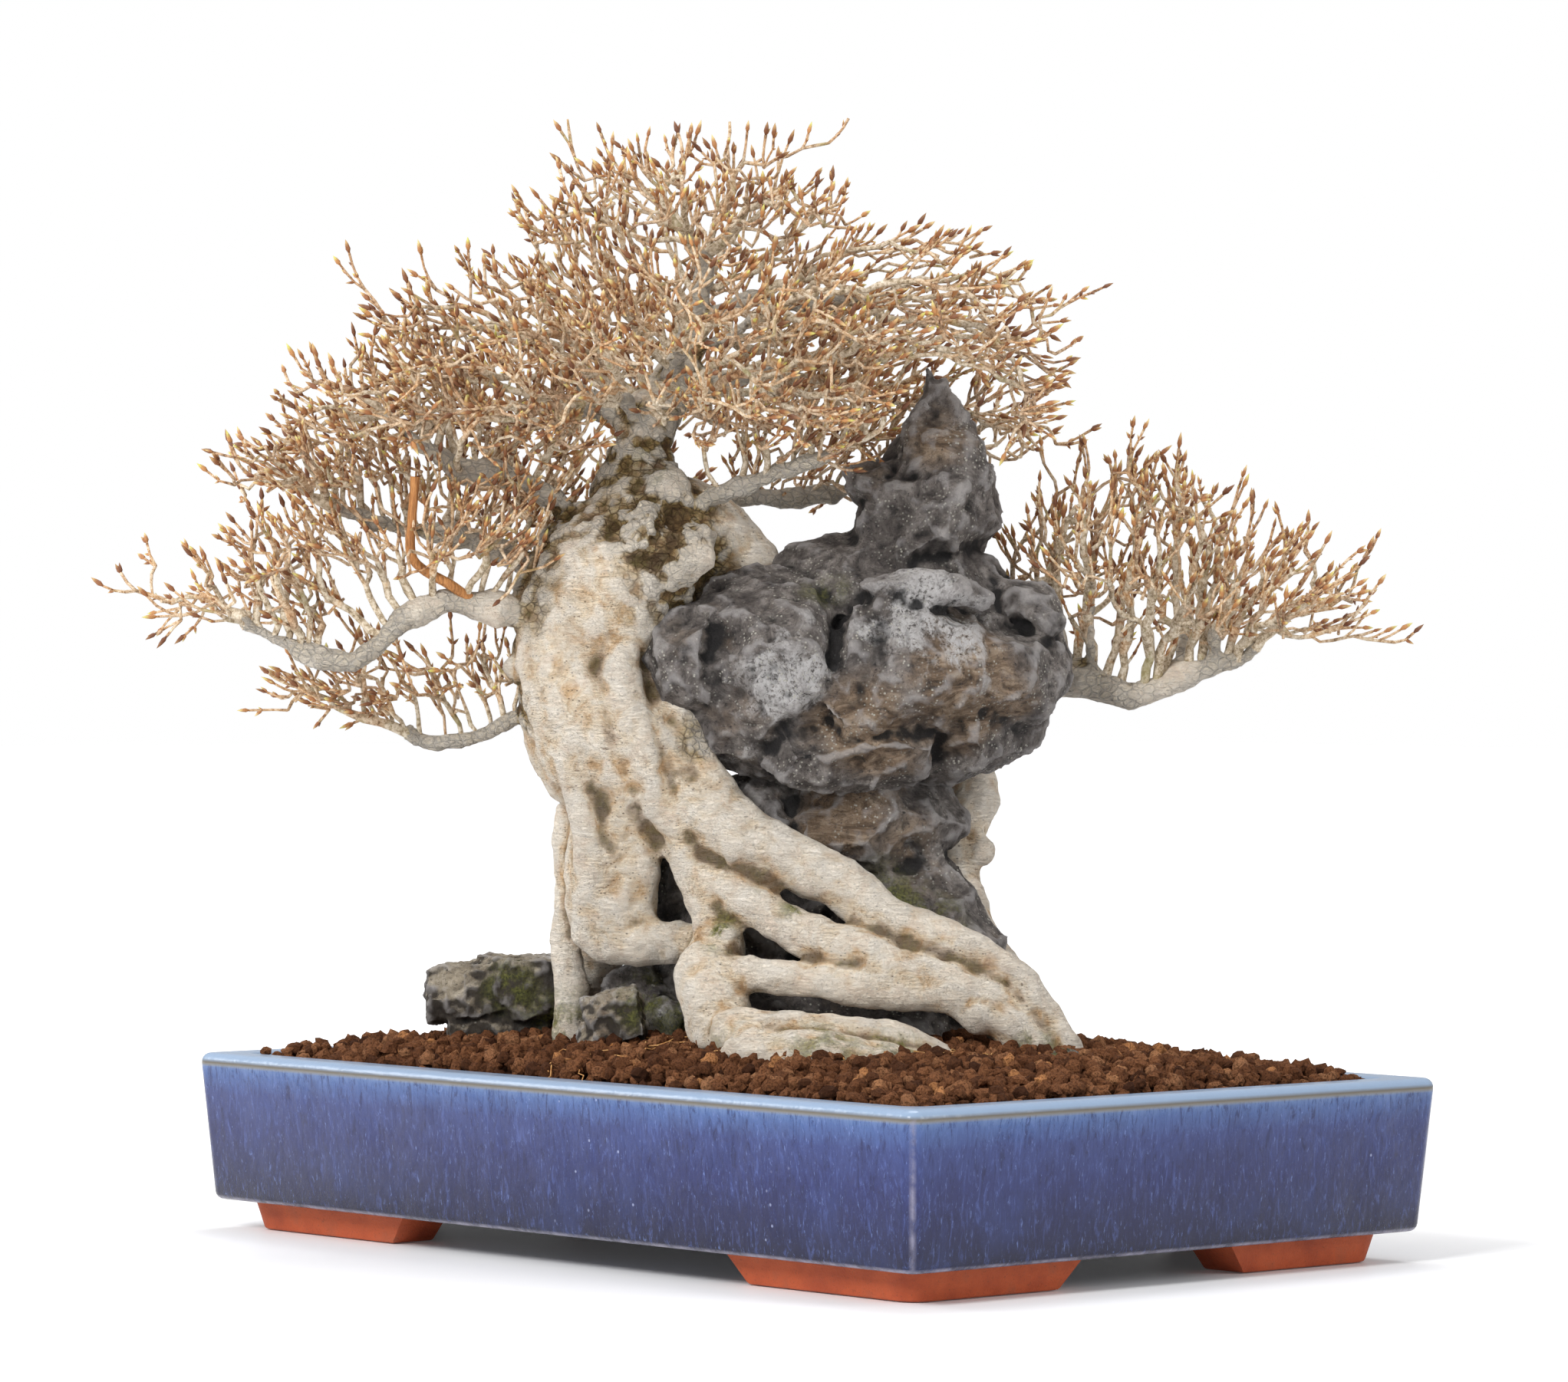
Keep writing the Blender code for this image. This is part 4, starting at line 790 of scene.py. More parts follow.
def tubes(name, chains, rings):
    curve = bpy.data.curves.new(name, "CURVE")
    curve.dimensions = "3D"
    curve.bevel_depth = 1.0
    curve.bevel_resolution = rings
    curve.use_fill_caps = True
    for chain in chains:
        spline = curve.splines.new("POLY")
        spline.points.add(len(chain) - 1)
        for target, (point, radius) in zip(spline.points, chain):
            target.co = (*point, 1)
            target.radius = radius
    pick(added(name, curve))
    bpy.ops.object.convert(target="MESH")
    return bpy.context.object


# each limb: the wood's own line, the radius at its foot, the point its twigs grow away from, its pads
# (centre, half sizes, number of growing points), and the tips of its longest twigs
limbs = {
    "crown": {
        "axis": [(-0.083, 0.003, 0.302), (-0.081, 0.004, 0.322), (-0.07, 0.006, 0.34), (-0.06, 0.01, 0.362),
                 (-0.054, 0.008, 0.388), (-0.05, 0.004, 0.412)],
        "radius": 0.015, "heart": (-0.07, 0.004, 0.3),
        "pads": [((-0.055, 0, 0.374), (0.1, 0.09, 0.086), 640),
                 ((-0.15, -0.01, 0.345), (0.064, 0.08, 0.054), 340),
                 ((0.046, -0.015, 0.352), (0.078, 0.08, 0.066), 430),
                 ((-0.055, -0.085, 0.345), (0.1, 0.045, 0.056), 260),
                 ((-0.05, 0.09, 0.35), (0.1, 0.045, 0.058), 210)],
        "tips": [(-0.121, 0, 0.472), (-0.039, 0.01, 0.472), (0.01, -0.01, 0.467), (-0.222, -0.01, 0.391),
                 (0.133, -0.015, 0.387)]},
    "right_front_limb": {
        "axis": [(-0.072, -0.008, 0.272), (-0.046, -0.018, 0.286), (-0.02, -0.024, 0.298),
                 (0.008, -0.03, 0.306), (0.036, -0.036, 0.32)],
        "radius": 0.0052, "heart": (-0.04, -0.02, 0.29),
        "pads": [((0.05, -0.035, 0.333), (0.06, 0.052, 0.024), 170),
                 ((-0.015, -0.03, 0.31), (0.045, 0.035, 0.018), 70)]},
    "right_back_limb": {
        "axis": [(-0.075, 0.018, 0.274), (-0.04, 0.034, 0.288), (-0.012, 0.044, 0.289),
                 (0.022, 0.054, 0.292), (0.06, 0.06, 0.302)],
        "radius": 0.0052, "heart": (-0.02, 0.05, 0.28),
        "pads": [((0.07, 0.06, 0.32), (0.06, 0.05, 0.028), 140),
                 ((0.01, 0.05, 0.294), (0.05, 0.03, 0.018), 80)]},
    "far_right_limb": {
        "axis": [(-0.07, 0.02, 0.262), (-0.03, 0.04, 0.248), (0.004, 0.064, 0.224), (0.055, 0.078, 0.206),
                 (0.1, 0.07, 0.201), (0.127, 0.06, 0.199), (0.147, 0.052, 0.193), (0.168, 0.048, 0.188),
                 (0.187, 0.048, 0.193), (0.204, 0.048, 0.201), (0.228, 0.047, 0.206)],
        "radius": 0.0105, "heart": (0.15, 0.05, 0.18),
        "pads": [((0.19, 0.046, 0.226), (0.064, 0.05, 0.02), 130),
                 ((0.168, 0.045, 0.258), (0.06, 0.066, 0.044), 300),
                 ((0.232, 0.045, 0.232), (0.054, 0.052, 0.034), 230)],
        "tips": [(0.303, 0.046, 0.215), (0.285, 0.05, 0.254), (0.115, 0.05, 0.324)]},
    "upper_left_limb": {
        "axis": [(-0.1, 0, 0.262), (-0.128, -0.006, 0.286), (-0.152, -0.01, 0.296), (-0.172, -0.015, 0.299),
                 (-0.196, -0.02, 0.314)],
        "radius": 0.0066, "heart": (-0.16, -0.01, 0.29),
        "pads": [((-0.205, -0.02, 0.328), (0.05, 0.06, 0.032), 210),
                 ((-0.148, -0.02, 0.318), (0.042, 0.05, 0.028), 110)]},
    "middle_left_limb": {
        "axis": [(-0.11, 0.008, 0.24), (-0.146, 0.014, 0.256), (-0.17, 0.015, 0.267), (-0.196, 0.013, 0.27),
                 (-0.22, 0.008, 0.274), (-0.25, 0, 0.287)],
        "radius": 0.0066, "heart": (-0.18, 0.01, 0.262),
        "pads": [((-0.242, 0, 0.298), (0.05, 0.055, 0.024), 200),
                 ((-0.165, 0.005, 0.284), (0.045, 0.045, 0.02), 100)]},
    "long_left_limb": {
        "axis": [(-0.115, -0.01, 0.226), (-0.152, -0.016, 0.23), (-0.18, -0.022, 0.233),
                 (-0.202, -0.026, 0.224), (-0.227, -0.03, 0.202), (-0.246, -0.029, 0.206),
                 (-0.28, -0.02, 0.221)],
        "radius": 0.0074, "heart": (-0.2, -0.02, 0.215),
        "pads": [((-0.276, -0.008, 0.232), (0.05, 0.04, 0.02), 190),
                 ((-0.236, -0.026, 0.254), (0.05, 0.042, 0.022), 150),
                 ((-0.165, -0.03, 0.258), (0.042, 0.035, 0.018), 80)],
        "tips": [(-0.345, 0, 0.239), (-0.33, 0.01, 0.252)]},
    "low_left_limb": {
        "axis": [(-0.118, 0.008, 0.18), (-0.146, 0.012, 0.174), (-0.165, 0.016, 0.166),
                 (-0.188, 0.019, 0.161), (-0.216, 0.02, 0.172), (-0.245, 0.02, 0.184)],
        "radius": 0.0044, "heart": (-0.15, 0.016, 0.16),
        "pads": [((-0.21, 0.02, 0.186), (0.056, 0.042, 0.022), 130),
                 ((-0.16, 0.016, 0.192), (0.034, 0.034, 0.016), 50)]},
    "back_limb": {
        "axis": [(-0.098, 0.025, 0.238), (-0.108, 0.056, 0.252), (-0.114, 0.084, 0.262),
                 (-0.118, 0.112, 0.272)],
        "radius": 0.007, "heart": (-0.11, 0.08, 0.255),
        "pads": [((-0.115, 0.125, 0.288), (0.062, 0.05, 0.03), 180)]},
}
growth = {"step": 0.0070, "reach": 0.055, "spent": 0.0078, "twig": 0.00085, "shoot": 0.00068, "outward": 0.45,
          "rounds": 70, "crowded": 1.2, "stout": 0.0030, "past": 0.007, "budPast": 0.009}


def nodeTree(nodes, first=0):
    tree = kdtree.KDTree(len(nodes))
    for i, node in enumerate(nodes):
        if i >= first:
            tree.insert(node, i)
    tree.balance()
    return tree


def spreadThrough(pads, seed):
    chance = random.Random(seed)
    points = []
    for centre, half, count in pads:
        made = 0
        while made < growth["crowded"] * count:
            p = anyWay(chance)
            if not 0.45 < p.length < 1 or p.z < -0.55:
                continue
            made += 1
            point = Vector(centre[i] + half[i] * p[i] for i in range(3))
            atPeak = 0.028 < point.x < 0.100 and point.y < 0.030 and point.z < 0.352
            if not atPeak:          # the rock's peak stays in sight
                points.append(point)
    return points


def grown(limb, seed):
    step = growth["step"]
    axis = [Vector(p) for p in limb["axis"]]
    nodes, parents = [axis[0]], [None]
    for a, b in zip(axis, axis[1:]):
        steps = max(1, round((b - a).length / step))
        for i in range(1, steps + 1):
            nodes.append(a.lerp(b, i / steps))
            parents.append(len(nodes) - 2)
    firstTwig = len(nodes) // 6
    children = [0] * len(nodes)
    targets = spreadThrough(limb["pads"], seed)
    chance = random.Random(seed + 1)
    for _ in range(growth["rounds"]):
        tree = nodeTree(nodes, firstTwig)
        pulls = {}
        for target in targets:
            _, i, distance = tree.find(target)
            if distance < growth["reach"]:
                pulls.setdefault(i, []).append((target - nodes[i]).normalized())
        if not pulls:
            _, i, _ = tree.find(targets[0])
            pulls[i] = [(targets[0] - nodes[i]).normalized()]
        for i, pull in pulls.items():
            if children[i] >= 3:
                continue
            heading = sum(pull, Vector()) / len(pull)
            heading += anyWay(chance, 0.28) + Vector((0, 0, 0.12))
            heading += (nodes[i] - Vector(limb["heart"])).normalized() * growth["outward"]
            children[i] += 1
            nodes.append(nodes[i] + heading.normalized() * step)
            parents.append(i)
            children.append(0)
        tree = nodeTree(nodes)
        targets = [t for t in targets if tree.find(t)[2] > growth["spent"]]
        if not targets:
            break
    for tip in limb.get("tips", []):
        _, nearest, distance = nodeTree(nodes, firstTwig).find(tip)
        base = nodes[nearest]
        steps = max(1, round(distance / step))
        for i in range(1, steps + 1):
            parents.append(nearest if i == 1 else len(nodes) - 1)
            nodes.append(base.lerp(Vector(tip), i / steps))
    return nodes, parents


def chainsOf(nodes, parents):
    tips = [0] * len(nodes)
    offspring = [[] for _ in nodes]
    for i, parent in enumerate(parents):
        if parent is not None:
            offspring[parent].append(i)
    for i in range(len(nodes) - 1, -1, -1):
        tips[i] = sum(tips[c] for c in offspring[i]) or 1
    starts, chains = [(None, 0)], []
    while starts:
        fork, i = starts.pop()
        chain = [i] if fork is None else [fork, i]
        while offspring[i]:
            heir = max(offspring[i], key=lambda c: tips[c])
            starts += [(i, c) for c in offspring[i] if c != heir]
            i = heir
            chain.append(i)
        chains.append(chain)
    return chains, tips


def insideBox(point, margin):
    return all(low - margin < p < high + margin for low, p, high in zip(cadBox[0], point, cadBox[1]))


def shootFrom(point, ahead, long, chance, runs, budSpots):
    heading, run = ahead.copy(), [(point, growth["shoot"] * 1.3)]
    steps = max(2, round(long / 0.0065))
    for k in range(steps):
        heading = (heading + anyWay(chance) * 0.26 + Vector((0, 0, 0.16))).normalized()
        point = point + heading * long / steps
        if not insideBox(point, growth["past"]):
            break
        run.append((point, growth["shoot"] * chance.uniform(0.85, 1.25)))
        if k < steps - 1 and chance.random() < 0.6:         # a pair of side buds
            side = heading.cross(anyWay(chance)).normalized()
            for turn in (1, -1):
                if chance.random() < 0.8:
                    way = (heading * 0.8 + side * turn * 0.7).normalized()
                    budSpots.append((point, way, chance.uniform(0.38, 0.70)))
    if len(run) > 1:
        runs.append(run)
        budSpots.append((run[-1][0], heading, chance.uniform(0.75, 1.12)))
        if chance.random() < 0.5:
            side = heading.cross(anyWay(chance)).normalized()
            budSpots.append((run[-1][0], (heading + side * 0.5).normalized(), chance.uniform(0.5, 0.8)))


def makeTwigs(name, limb, seed, budSpots, thickRuns):
    chance = random.Random(seed + 7)
    nodes, parents = grown(limb, seed)
    chains, tips = chainsOf(nodes, parents)
    places = [treePoint(n) + anyWay(chance, 0.0012) for n in nodes]
    heart = treePoint(limb["heart"])
    runs = []
    for chain in chains:
        first = min(1, len(chain) - 1)
        run = []
        for k, i in enumerate(chain):
            share = tips[chain[max(k, first)]] / tips[0]        # of the limb's tips that this point carries
            size = max(growth["twig"], limb["radius"] * share ** 0.47)
            if k == 0 and i != 0:
                size *= 0.8
            run.append((places[i], size * chance.uniform(0.86, 1.18)))
        stout = [r for r in run if r[1] > growth["stout"]]
        if len(stout) > 1:
            thickRuns.append(stout)
        runs.append(run[max(0, len(stout) - 2):])
        for k in range(2, len(chain)):
            last = k == len(chain) - 1
            point, size = run[k]
            ahead = (point - run[k - 1][0]).normalized()
            outward = (point - heart).normalized()
            if size > growth["stout"] or not last and chance.random() > 0.50:
                continue
            for _ in range(chance.choice((1, 2, 2)) if last else 1):
                way = (ahead * 0.6 + outward * 0.7 + anyWay(chance) * (0.35 if last else 0.6)).normalized()
                long = chance.uniform(0.009, 0.021) * (1 if last else 0.75)
                shootFrom(point, way, long, chance, runs, budSpots)
    return tubes(name, runs, 1), runs


def thicknessOf(obj, runs):
    points = [point for run in runs for point in run]
    tree = nodeTree([place for place, _ in points])
    paint(obj, "thick", [min(1, points[tree.find(v.co)[1]][1] / 0.006) for v in obj.data.vertices])


print("bonsai: growing twigs")
budSpots, thickRuns = [], []
for number, (limbName, limb) in enumerate(limbs.items()):
    twigsName = limbName.replace("_limb", "") + "_twigs"
    twigs, runs = makeTwigs(twigsName, limb, 10 * number + 3, budSpots, thickRuns)
    thicknessOf(twigs, runs)
    twigs.data.shade_smooth()
    done(twigs, twigBark, "twig_bark", limbName)
    print("  ", limbName, len(budSpots), "buds so far")

bud = {"length": 0.0085, "width": 0.0025, "sunk": 0.0006}


def makeBud():
    bpy.ops.mesh.primitive_cone_add(vertices=5, radius1=bud["width"] * 0.25, radius2=0.0001,
                                    depth=bud["length"], location=(0, 0, bud["length"] / 2))
    obj = bake(bpy.context.object)
    selectEdges(obj, lambda a, b: abs(a.z - b.z) > 0.001)
    bpy.ops.mesh.subdivide(number_cuts=2)
    objectMode()
    for vert in obj.data.vertices:          # swollen below the middle, drawn to a point
        share = vert.co.z / bud["length"]
        swell = math.sin(math.pi * min(1, share ** 0.75 * 1.02)) ** 0.9 + 0.22 * (1 - share)
        flat = Vector((vert.co.x, vert.co.y, 0))
        if flat.length > 1e-6:
            flat = flat.normalized() * bud["width"] * 0.5 * swell
        vert.co = (flat.x, flat.y, vert.co.z)
    return obj


budShape = makeBud()
chance = random.Random(5)
spots = []
for place, heading, size in budSpots:
    turn = heading.to_track_quat("Z", "Y").to_matrix().to_4x4()
    wide = min(1.0, size * chance.uniform(0.8, 1.2))
    matrix = Matrix.Translation(place - heading * bud["sunk"]) @ turn @ Matrix.Diagonal((wide, wide, size, 1))
    if insideBox(matrix @ Vector((0, 0, bud["length"])), growth["budPast"]):
        spots.append((0, matrix, chance.random()))
alongOne = np.array([v.co.z / bud["length"] for v in budShape.data.vertices], np.float32)
for piece in scattered("buds", [budShape], spots, 2, True):
    paint(piece, "along", np.tile(alongOne, len(piece.data.vertices) // len(alongOne)))
    done(piece, budScales, "twig_bark")
remove(budShape)
print("bonsai: buds", len(spots))

# the trunk's finished surface: every root, ridge, knob and stout limb grown into one
trunkWork = {"cell": 0.00226, "ease": 3, "pitch": 0.007, "collar": 0.0105}
woodRuns = [[(treePoint(p), p[3]) for p in eased(chain, trunkWork["pitch"])]
            for chain in [*trunkChains.values(), *barkChains.values()]]
wood = tubes("trunkSurface", woodRuns + thickRuns, 4)
knobObjs = []
for *place, radius in knobs:
    bpy.ops.mesh.primitive_ico_sphere_add(subdivisions=3, radius=radius, location=treePoint(place))
    knobObjs.append(bpy.context.object)
wood = joined("trunkSurface", [wood, *knobObjs])
modify(wood, "REMESH", mode="VOXEL", voxel_size=trunkWork["cell"])
modify(wood, "SMOOTH", factor=0.6, iterations=trunkWork["ease"])
roughen(wood, "CLOUDS", 0.030, 0.0070, noise_depth=2)
roughen(wood, "CLOUDS", 0.010, 0.0034, noise_depth=4)
gnarled = wood.vertex_groups.new(name="gnarled")
spotted(wood, "burl", burl)
for index, spot in enumerate(wood.data.attributes["burl"].data):
    if spot.value > 0.02:
        gnarled.add([index], min(1, spot.value), "REPLACE")
for kind, size, strength, settings in (("VORONOI", 0.016, -0.0100, {}),
                                       ("CLOUDS", 0.0075, 0.0100, {"noise_depth": 3}),
                                       ("VORONOI", 0.007, -0.0050, {})):
    roughen(wood, kind, size, strength, 0.4, "gnarled", **settings)
# the hollow measure drives the bark's painted shade and highlight, and its moss
hollows(wood, 14, 0.0014)
# where the bark is old and where it is mossy: place and reach
potToTree = treeToPot.inverted()
collars = [(*(potToTree @ point), trunkWork["collar"]) for run in thickRuns for point, _ in run]
spotted(wood, "old", collars + [
    (-0.074, -0.020, 0.262, 0.040), (-0.085, 0.0, 0.300, 0.030), (-0.128, 0.0, 0.230, 0.034),
    (-0.110, 0.010, 0.255, 0.040), (-0.060, 0.0, 0.330, 0.024), (-0.060, -0.03, 0.235, 0.020),
    (-0.132, 0.0, 0.185, 0.020), (-0.052, -0.03, 0.165, 0.014)])
spotted(wood, "mossy", [
    (-0.042, -0.058, 0.070, 0.010), (-0.118, 0.0, 0.018, 0.018), (-0.030, -0.09, 0.012, 0.016),
    (0.010, -0.125, 0.006, 0.022), (0.045, -0.120, 0.004, 0.020), (-0.100, 0.0, 0.262, 0.016),
    (-0.078, -0.030, 0.310, 0.014), (-0.020, -0.060, 0.098, 0.008), (0.020, -0.075, 0.083, 0.008),
    (0.115, -0.090, 0.012, 0.012), (-0.004, -0.060, 0.080, 0.008)])
wood.data.shade_smooth()
done(wood, bark, "pale_bark", "trunk_and_roots")
print("bonsai: trunk", len(wood.data.vertices))

# each rock's boulders: centre, half sizes, turn about up and lean to the right, in the tree's frame
rocks = {
    "mainRock": {
        "node": "main_rock", "cell": 0.0016, "material": "grey", "cuts": 15,
        "boulders": [((0.054, -0.002, 0.2), (0.07, 0.054, 0.052), 10, 4),
                     ((-0.02, -0.016, 0.199), (0.044, 0.048, 0.047), -8, -10),
                     ((-0.053, -0.018, 0.206), (0.024, 0.028, 0.034), 0, 12),
                     ((0.04, 0.004, 0.238), (0.062, 0.044, 0.03), 4, 4),
                     ((0.114, 0, 0.232), (0.019, 0.022, 0.016), 20, 25),
                     ((0.02, -0.014, 0.16), (0.058, 0.038, 0.019), 0, -4),
                     ((0.082, -0.004, 0.172), (0.038, 0.038, 0.03), 0, -24),
                     ((0.062, -0.047, 0.24), (0.032, 0.011, 0.01), 4, 6),
                     ((0.064, 0.006, 0.276), (0.036, 0.032, 0.034), 15, 0),
                     ((0.068, 0.006, 0.298), (0.027, 0.025, 0.028), 0, 0),
                     ((0.034, 0.006, 0.293), (0.015, 0.018, 0.015), 0, 0),
                     ((0.066, 0.004, 0.318), (0.016, 0.016, 0.026), 10, 8),
                     ((0.064, 0.004, 0.335), (0.0075, 0.009, 0.018), 10, -4),
                     ((0.04, -0.046, 0.2), (0.034, 0.014, 0.03), 15, 20)],
        "pale": [(0.062, -0.056, 0.24, 0.026), (-0.01, -0.06, 0.19, 0.022), (0.075, -0.05, 0.212, 0.014)],
        "brown": [(0.078, -0.045, 0.195, 0.036), (0.03, -0.05, 0.175, 0.03), (0.064, -0.02, 0.318, 0.02)],
        "mossy": [(0.01, -0.04, 0.245, 0.012)]},
    "pedestalRock": {
        "node": "pedestal_rock", "cell": 0.0018, "material": "grey", "cuts": 15,
        "boulders": [((0.03, 0.004, 0.12), (0.048, 0.036, 0.036), 12, 10),
                     ((-0.02, 0.012, 0.09), (0.04, 0.034, 0.05), -20, 0),
                     ((0.052, 0, 0.066), (0.046, 0.034, 0.04), 0, 18),
                     ((0.01, 0.01, 0.02), (0.075, 0.044, 0.036), 8, 0),
                     ((-0.056, 0.024, 0.085), (0.022, 0.02, 0.056), 0, -4),
                     ((-0.06, 0.022, 0.03), (0.028, 0.022, 0.04), 0, 0)],
        "brown": [(0.02, -0.03, 0.13, 0.03), (0.06, -0.03, 0.11, 0.026)],
        "mossy": [(0.045, -0.03, 0.085, 0.02), (0.06, -0.03, 0.07, 0.02)]},
    "slabStone": {
        "node": "slab_stone", "cell": 0.0013, "material": "pale", "cuts": 12, "blocky": True,
        "boulders": [((-0.168, 0.058, 0.033), (0.026, 0.024, 0.0155), 6, -2),
                     ((-0.14, 0.054, 0.036), (0.028, 0.024, 0.016), -8, 2),
                     ((-0.156, 0.056, 0.008), (0.026, 0.02, 0.02), 0, 0)],
        "mossy": [(-0.15, 0.03, 0.036, 0.014), (-0.128, 0.03, 0.02, 0.014)]},
    "darkStone": {
        "node": "dark_stone", "cell": 0.0013, "material": "grey", "cuts": 13,
        "boulders": [((-0.08, 0.016, 0.022), (0.026, 0.02, 0.026), 20, 8),
                     ((-0.07, 0, 0.014), (0.016, 0.014, 0.02), 40, 0)],
        "mossy": [(-0.08, -0.005, 0.036, 0.014), (-0.062, -0.005, 0.02, 0.016)]},
    "wedgeStone": {
        "node": "wedge_stone", "cell": 0.0011, "material": "pale", "cuts": 12, "blocky": True,
        "boulders": [((-0.094, -0.034, 0.026), (0.015, 0.013, 0.013), -10, -14),
                     ((-0.096, -0.032, 0.01), (0.016, 0.013, 0.014), 10, 0)],
        "mossy": [(-0.085, -0.044, 0.03, 0.01)]},
    "tipStone": {
        "node": "root_tip_stone", "cell": 0.001, "material": "grey", "cuts": 11,
        "boulders": [((0.128, -0.108, 0.004), (0.013, 0.011, 0.01), 30, 0)],
        "mossy": [(0.126, -0.112, 0.014, 0.01)]},
}


def boulder(centre, half, turn, lean, chance, cuts, blocky):
    if blocky:
        bpy.ops.mesh.primitive_cube_add(size=1.7)
    else:
        bpy.ops.mesh.primitive_ico_sphere_add(subdivisions=4, radius=1)
    nearest, farthest = (0.84, 1.10) if blocky else (0.64, 0.90)        # how deep the breaks go
    obj = pick(bpy.context.object)
    bpy.ops.object.mode_set(mode="EDIT")
    for _ in range(cuts):
        way = anyAxis(chance)
        bpy.ops.mesh.select_all(action="SELECT")
        bpy.ops.mesh.bisect(plane_co=way * chance.uniform(nearest, farthest), plane_no=way, use_fill=True,
                            clear_outer=True)
    objectMode()
    obj.matrix_world = (treeToPot @ Matrix.Translation(centre) @ Matrix.Rotation(math.radians(turn), 4, "Z")
                        @ Matrix.Rotation(math.radians(lean), 4, "Y")
                        @ Matrix.Diagonal((*[h * 1.18 for h in half], 1)))      # the cuts take that much off
    return bake(obj)


def makeRock(name, rock, seed):
    chance = random.Random(seed)
    lumps = [boulder(*b, chance, rock["cuts"], rock.get("blocky", False)) for b in rock["boulders"]]
    obj = joined(name, lumps)
    modify(obj, "REMESH", mode="VOXEL", voxel_size=rock["cell"])
    size = 1.0 if rock["cell"] > 0.0015 else 0.5
    roughen(obj, "MUSGRAVE", 0.026 * size, 0.0024 * size, 0.9, musgrave_type="RIDGED_MULTIFRACTAL",
            octaves=4.0)
    roughen(obj, "VORONOI", 0.012 * size, -0.0030 * size, 0.3, distance_metric="CHEBYCHEV")
    roughen(obj, "CLOUDS", 0.005, 0.0022, noise_depth=4)
    # the hollow measure drives the stones' painted shade and highlight
    hollows(obj, 14, 0.0016)
    for kind in ("pale", "brown", "mossy"):
        spotted(obj, kind, rock.get(kind, []))
    # which way each point faces, read by the painted side shade of the pale stones
    paint(obj, "up", [v.normal.z for v in obj.data.vertices])
    smooth(obj, 35)
    return done(obj, greyStone if rock["material"] == "grey" else paleStone, "grey_stone", rock["node"])


for number, (rockName, rock) in enumerate(rocks.items()):
    piece = makeRock(rockName, rock, 40 + number)
    print("  ", rockName, len(piece.data.vertices))
print("bonsai: rocks broken and placed")


soil = {"below": 0.004, "mound": 0.018, "grain": 0.0042, "gap": 0.0066, "layers": 2, "flat": 0.022,
        "clear": 0.0012, "bed": 0.0042, "thick": 0.012, "kinds": 6}


def soilHeight(x, y):
    across = 1 - min(1, abs(x) / (pot["length"] / 2 - soil["flat"])) ** 2
    along = 1 - min(1, abs(y) / (pot["width"] / 2 - soil["flat"])) ** 2
    return pot["height"] - soil["below"] + soil["mound"] * math.sqrt(max(0, across * along))


halfX, halfY = (pot[side] / 2 - pot["lip"] - soil["clear"] for side in ("length", "width"))
bpy.ops.mesh.primitive_grid_add(x_subdivisions=150, y_subdivisions=96, size=1)
bed = bpy.context.object
bed.name = "soilBed"
bed.scale = (2 * halfX, 2 * halfY, 1)
bake(bed)
for vert in bed.data.vertices:
    vert.co.z = soilHeight(vert.co.x, vert.co.y) - soil["bed"]
modify(bed, "SOLIDIFY", thickness=soil["thick"], offset=-1)
roughen(bed, "CLOUDS", 0.006, 0.0020)
# the bed under the grains takes the darkest grit tone: painted shade between the grains
paint(bed, "tone", [0.02] * len(bed.data.vertices))
done(bed, grit, "red_grit", "soil")


def makeGrain(seed):
    chance = random.Random(seed)
    bpy.ops.mesh.primitive_ico_sphere_add(subdivisions=2, radius=1)
    obj = pick(bpy.context.object)
    obj.name = f"grain{seed}"
    bpy.ops.object.mode_set(mode="EDIT")
    bpy.ops.mesh.select_all(action="SELECT")
    bpy.ops.transform.translate(value=anyWay(chance, 9))        # each falls elsewhere in the noise
    objectMode()
    roughen(obj, "CLOUDS", 0.95, 0.95, noise_depth=2)
    roughen(obj, "VORONOI", 0.75, -0.55, 0.3)
    bpy.ops.object.origin_set(type="ORIGIN_GEOMETRY", center="MEDIAN")
    obj.location = (0, 0, 0)
    return obj


grains = [makeGrain(60 + k) for k in range(soil["kinds"])]
chance = random.Random(9)
spots = []
gap = soil["gap"]
for layer in range(soil["layers"]):
    for i in range(int(2 * halfX / gap) + 1):
        for j in range(int(2 * halfY / gap) + 1):
            x = -halfX + (i + 0.5 * (j % 2)) * gap + chance.uniform(-0.4, 0.4) * gap
            y = -halfY + j * gap + chance.uniform(-0.4, 0.4) * gap
            if abs(x) > halfX - 0.003 or abs(y) > halfY - 0.003 or layer and chance.random() < 0.55:
                continue
            size = soil["grain"] * chance.uniform(0.62, 1.15)
            up = soilHeight(x, y) + (0.0026 if layer else -0.0008) + chance.uniform(-0.0012, 0.0012)
            turn = Matrix.Rotation(chance.uniform(0, 6.28), 4, anyAxis(chance))
            stretch = Matrix.Diagonal([size * chance.uniform(0.85, 1.2) for _ in range(3)] + [1])
            matrix = Matrix.Translation((x, y, up)) @ turn @ stretch
            kind = chance.randrange(soil["kinds"])
            usual = chance.random() < 0.975         # the rest are bright new granules
            spots.append((kind, matrix, min(0.95, max(0, chance.gauss(0.45, 0.22))) if usual else 1.0))
for piece in scattered("soilGrains", grains, spots, 3, False):
    done(piece, grit, "red_grit", "soil")
remove(*grains)
print("bonsai: soil", len(spots), "grains")

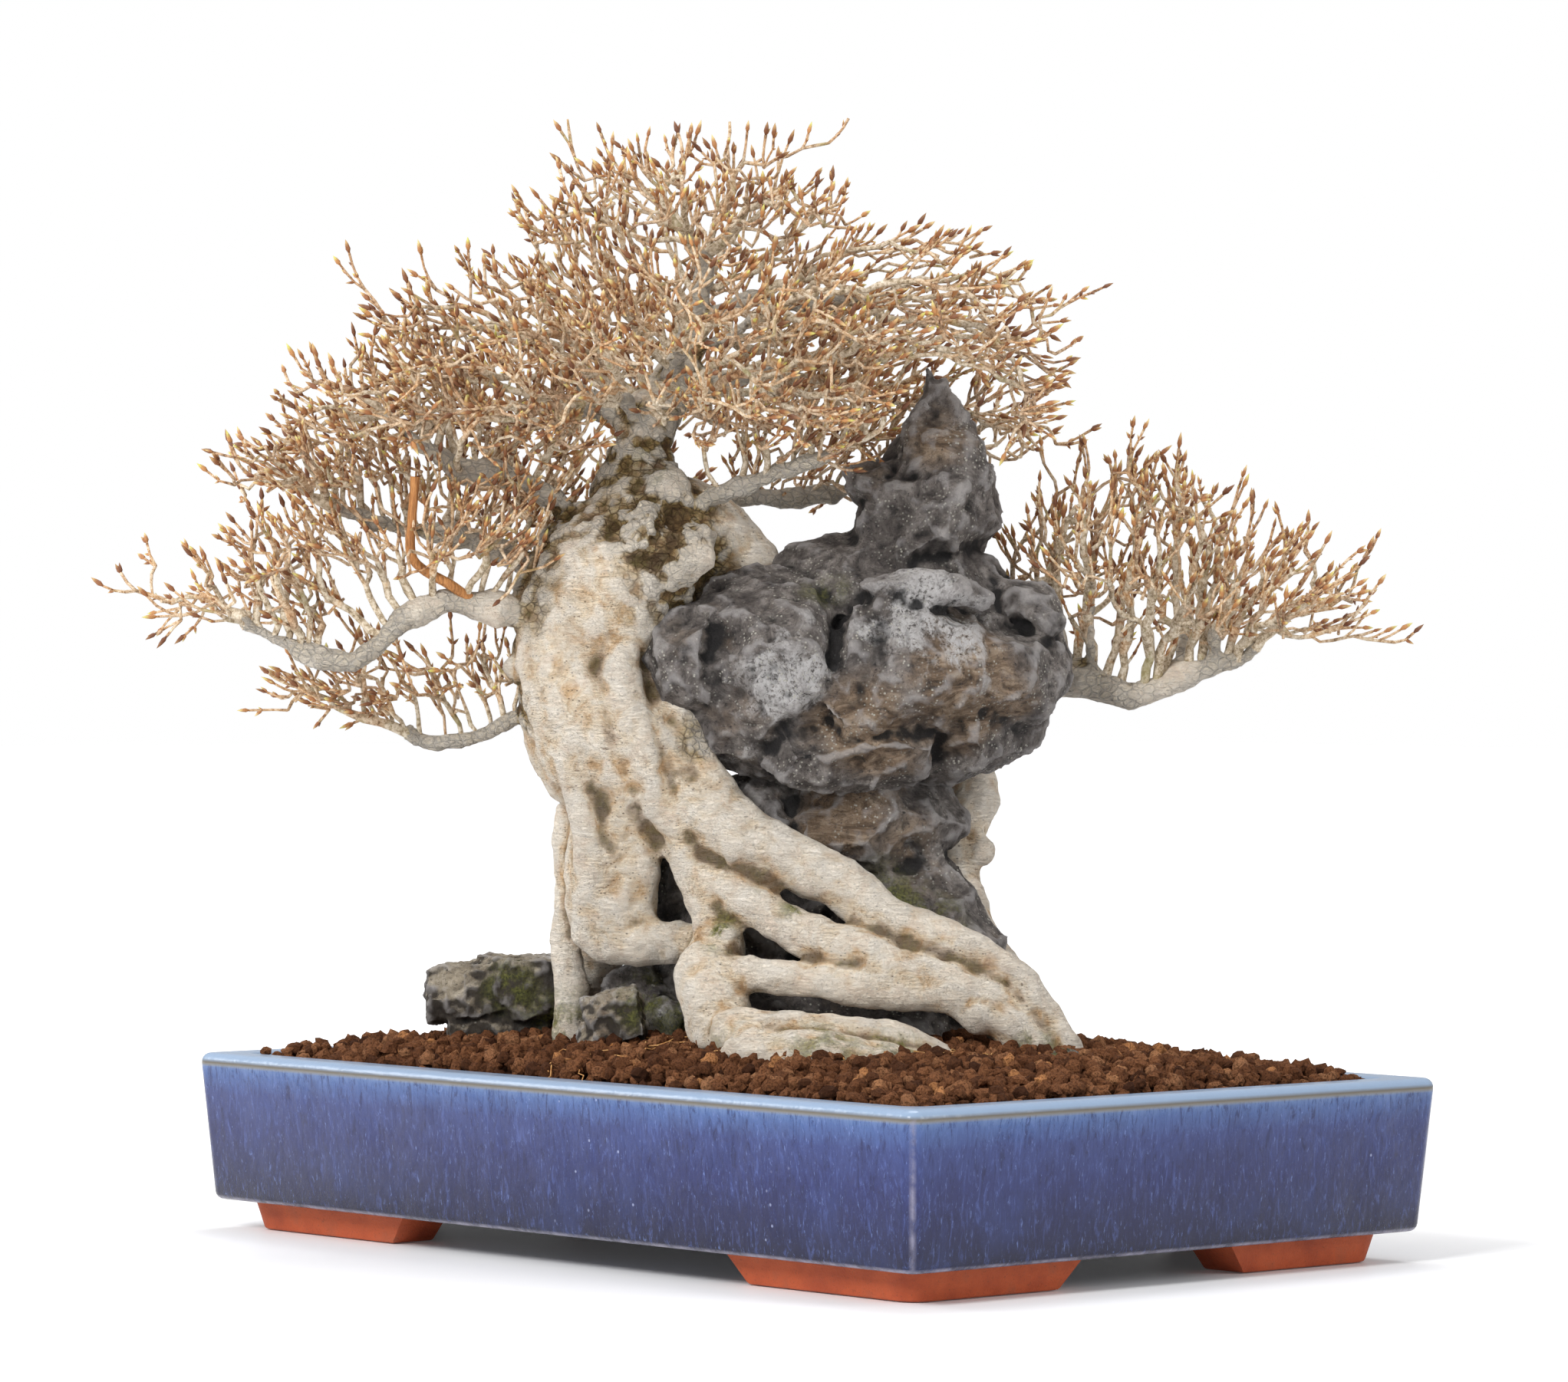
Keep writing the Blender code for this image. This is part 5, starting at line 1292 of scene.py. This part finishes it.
# the stub of a cut branch: points of right, back, up and radius
n = Finish("stubBark", roughness=0.6, specular=0.3)
stubGrain = n.noise(1.0, 5, 0.7, n.stretched((900, 900, 90)))
stubColour = n.ramp(stubGrain, (0.35, (0.180, 0.070, 0.022)), (0.55, (0.440, 0.190, 0.060)),
                    (0.75, (0.620, 0.330, 0.130)))
stubBark = n.finish(stubColour, n.bump(stubGrain, 0.0006, 0.8))
stubRun = eased([(-0.164, -0.020, 0.232, 0.0026), (-0.178, -0.028, 0.242, 0.0026),
                 (-0.192, -0.032, 0.250, 0.0025), (-0.1975, -0.034, 0.258, 0.0024),
                 (-0.197, -0.034, 0.275, 0.0023), (-0.1955, -0.034, 0.296, 0.0023)], 0.003)
stub = tubes("cutStub", [[(treePoint(p), p[3]) for p in stubRun]], 6)
roughen(stub, "CLOUDS", 0.006, 0.0006)
smooth(stub, 50)
done(stub, stubBark, "twig_bark")

# fine roots that lie on the soil, mostly before the trunk
n = Finish("rootletSkin", roughness=0.6, specular=0.3)
rootletSkin = n.finish(n.ramp(n.noise(300, 3), (0.35, (0.380, 0.150, 0.040)), (0.65, (0.720, 0.420, 0.160))))
rootlet = {"count": 46, "step": 0.005, "bend": 0.9}
chance = random.Random(31)
rootletRuns = []
for _ in range(rootlet["count"]):
    u, v = chance.uniform(-0.125, -0.020), chance.uniform(-0.10, -0.03)
    if chance.random() < 0.3:
        u, v = chance.uniform(-0.02, 0.10), chance.uniform(-0.135, -0.115)
    turn, run = chance.uniform(0, 6.28), []
    for _ in range(chance.randint(4, 8)):
        place = treePoint((u, v, 0))
        place.z = soilHeight(place.x, place.y) + chance.uniform(0.0015, 0.0050)
        run.append((place, chance.uniform(0.00022, 0.00045)))
        turn += chance.uniform(-rootlet["bend"], rootlet["bend"])
        u, v = u + math.cos(turn) * rootlet["step"], v + math.sin(turn) * rootlet["step"]
    rootletRuns.append(run)
rootlets = tubes("rootlets", rootletRuns, 0)
rootlets.data.shade_smooth()
done(rootlets, rootletSkin, "pale_bark")
print("bonsai: cut stub and rootlets")

for obj in bpy.data.objects:
    if obj.type == "MESH":
        print("  ", obj.name, sum(len(p.vertices) - 2 for p in obj.data.polygons), "triangles")
print("bonsai: done")
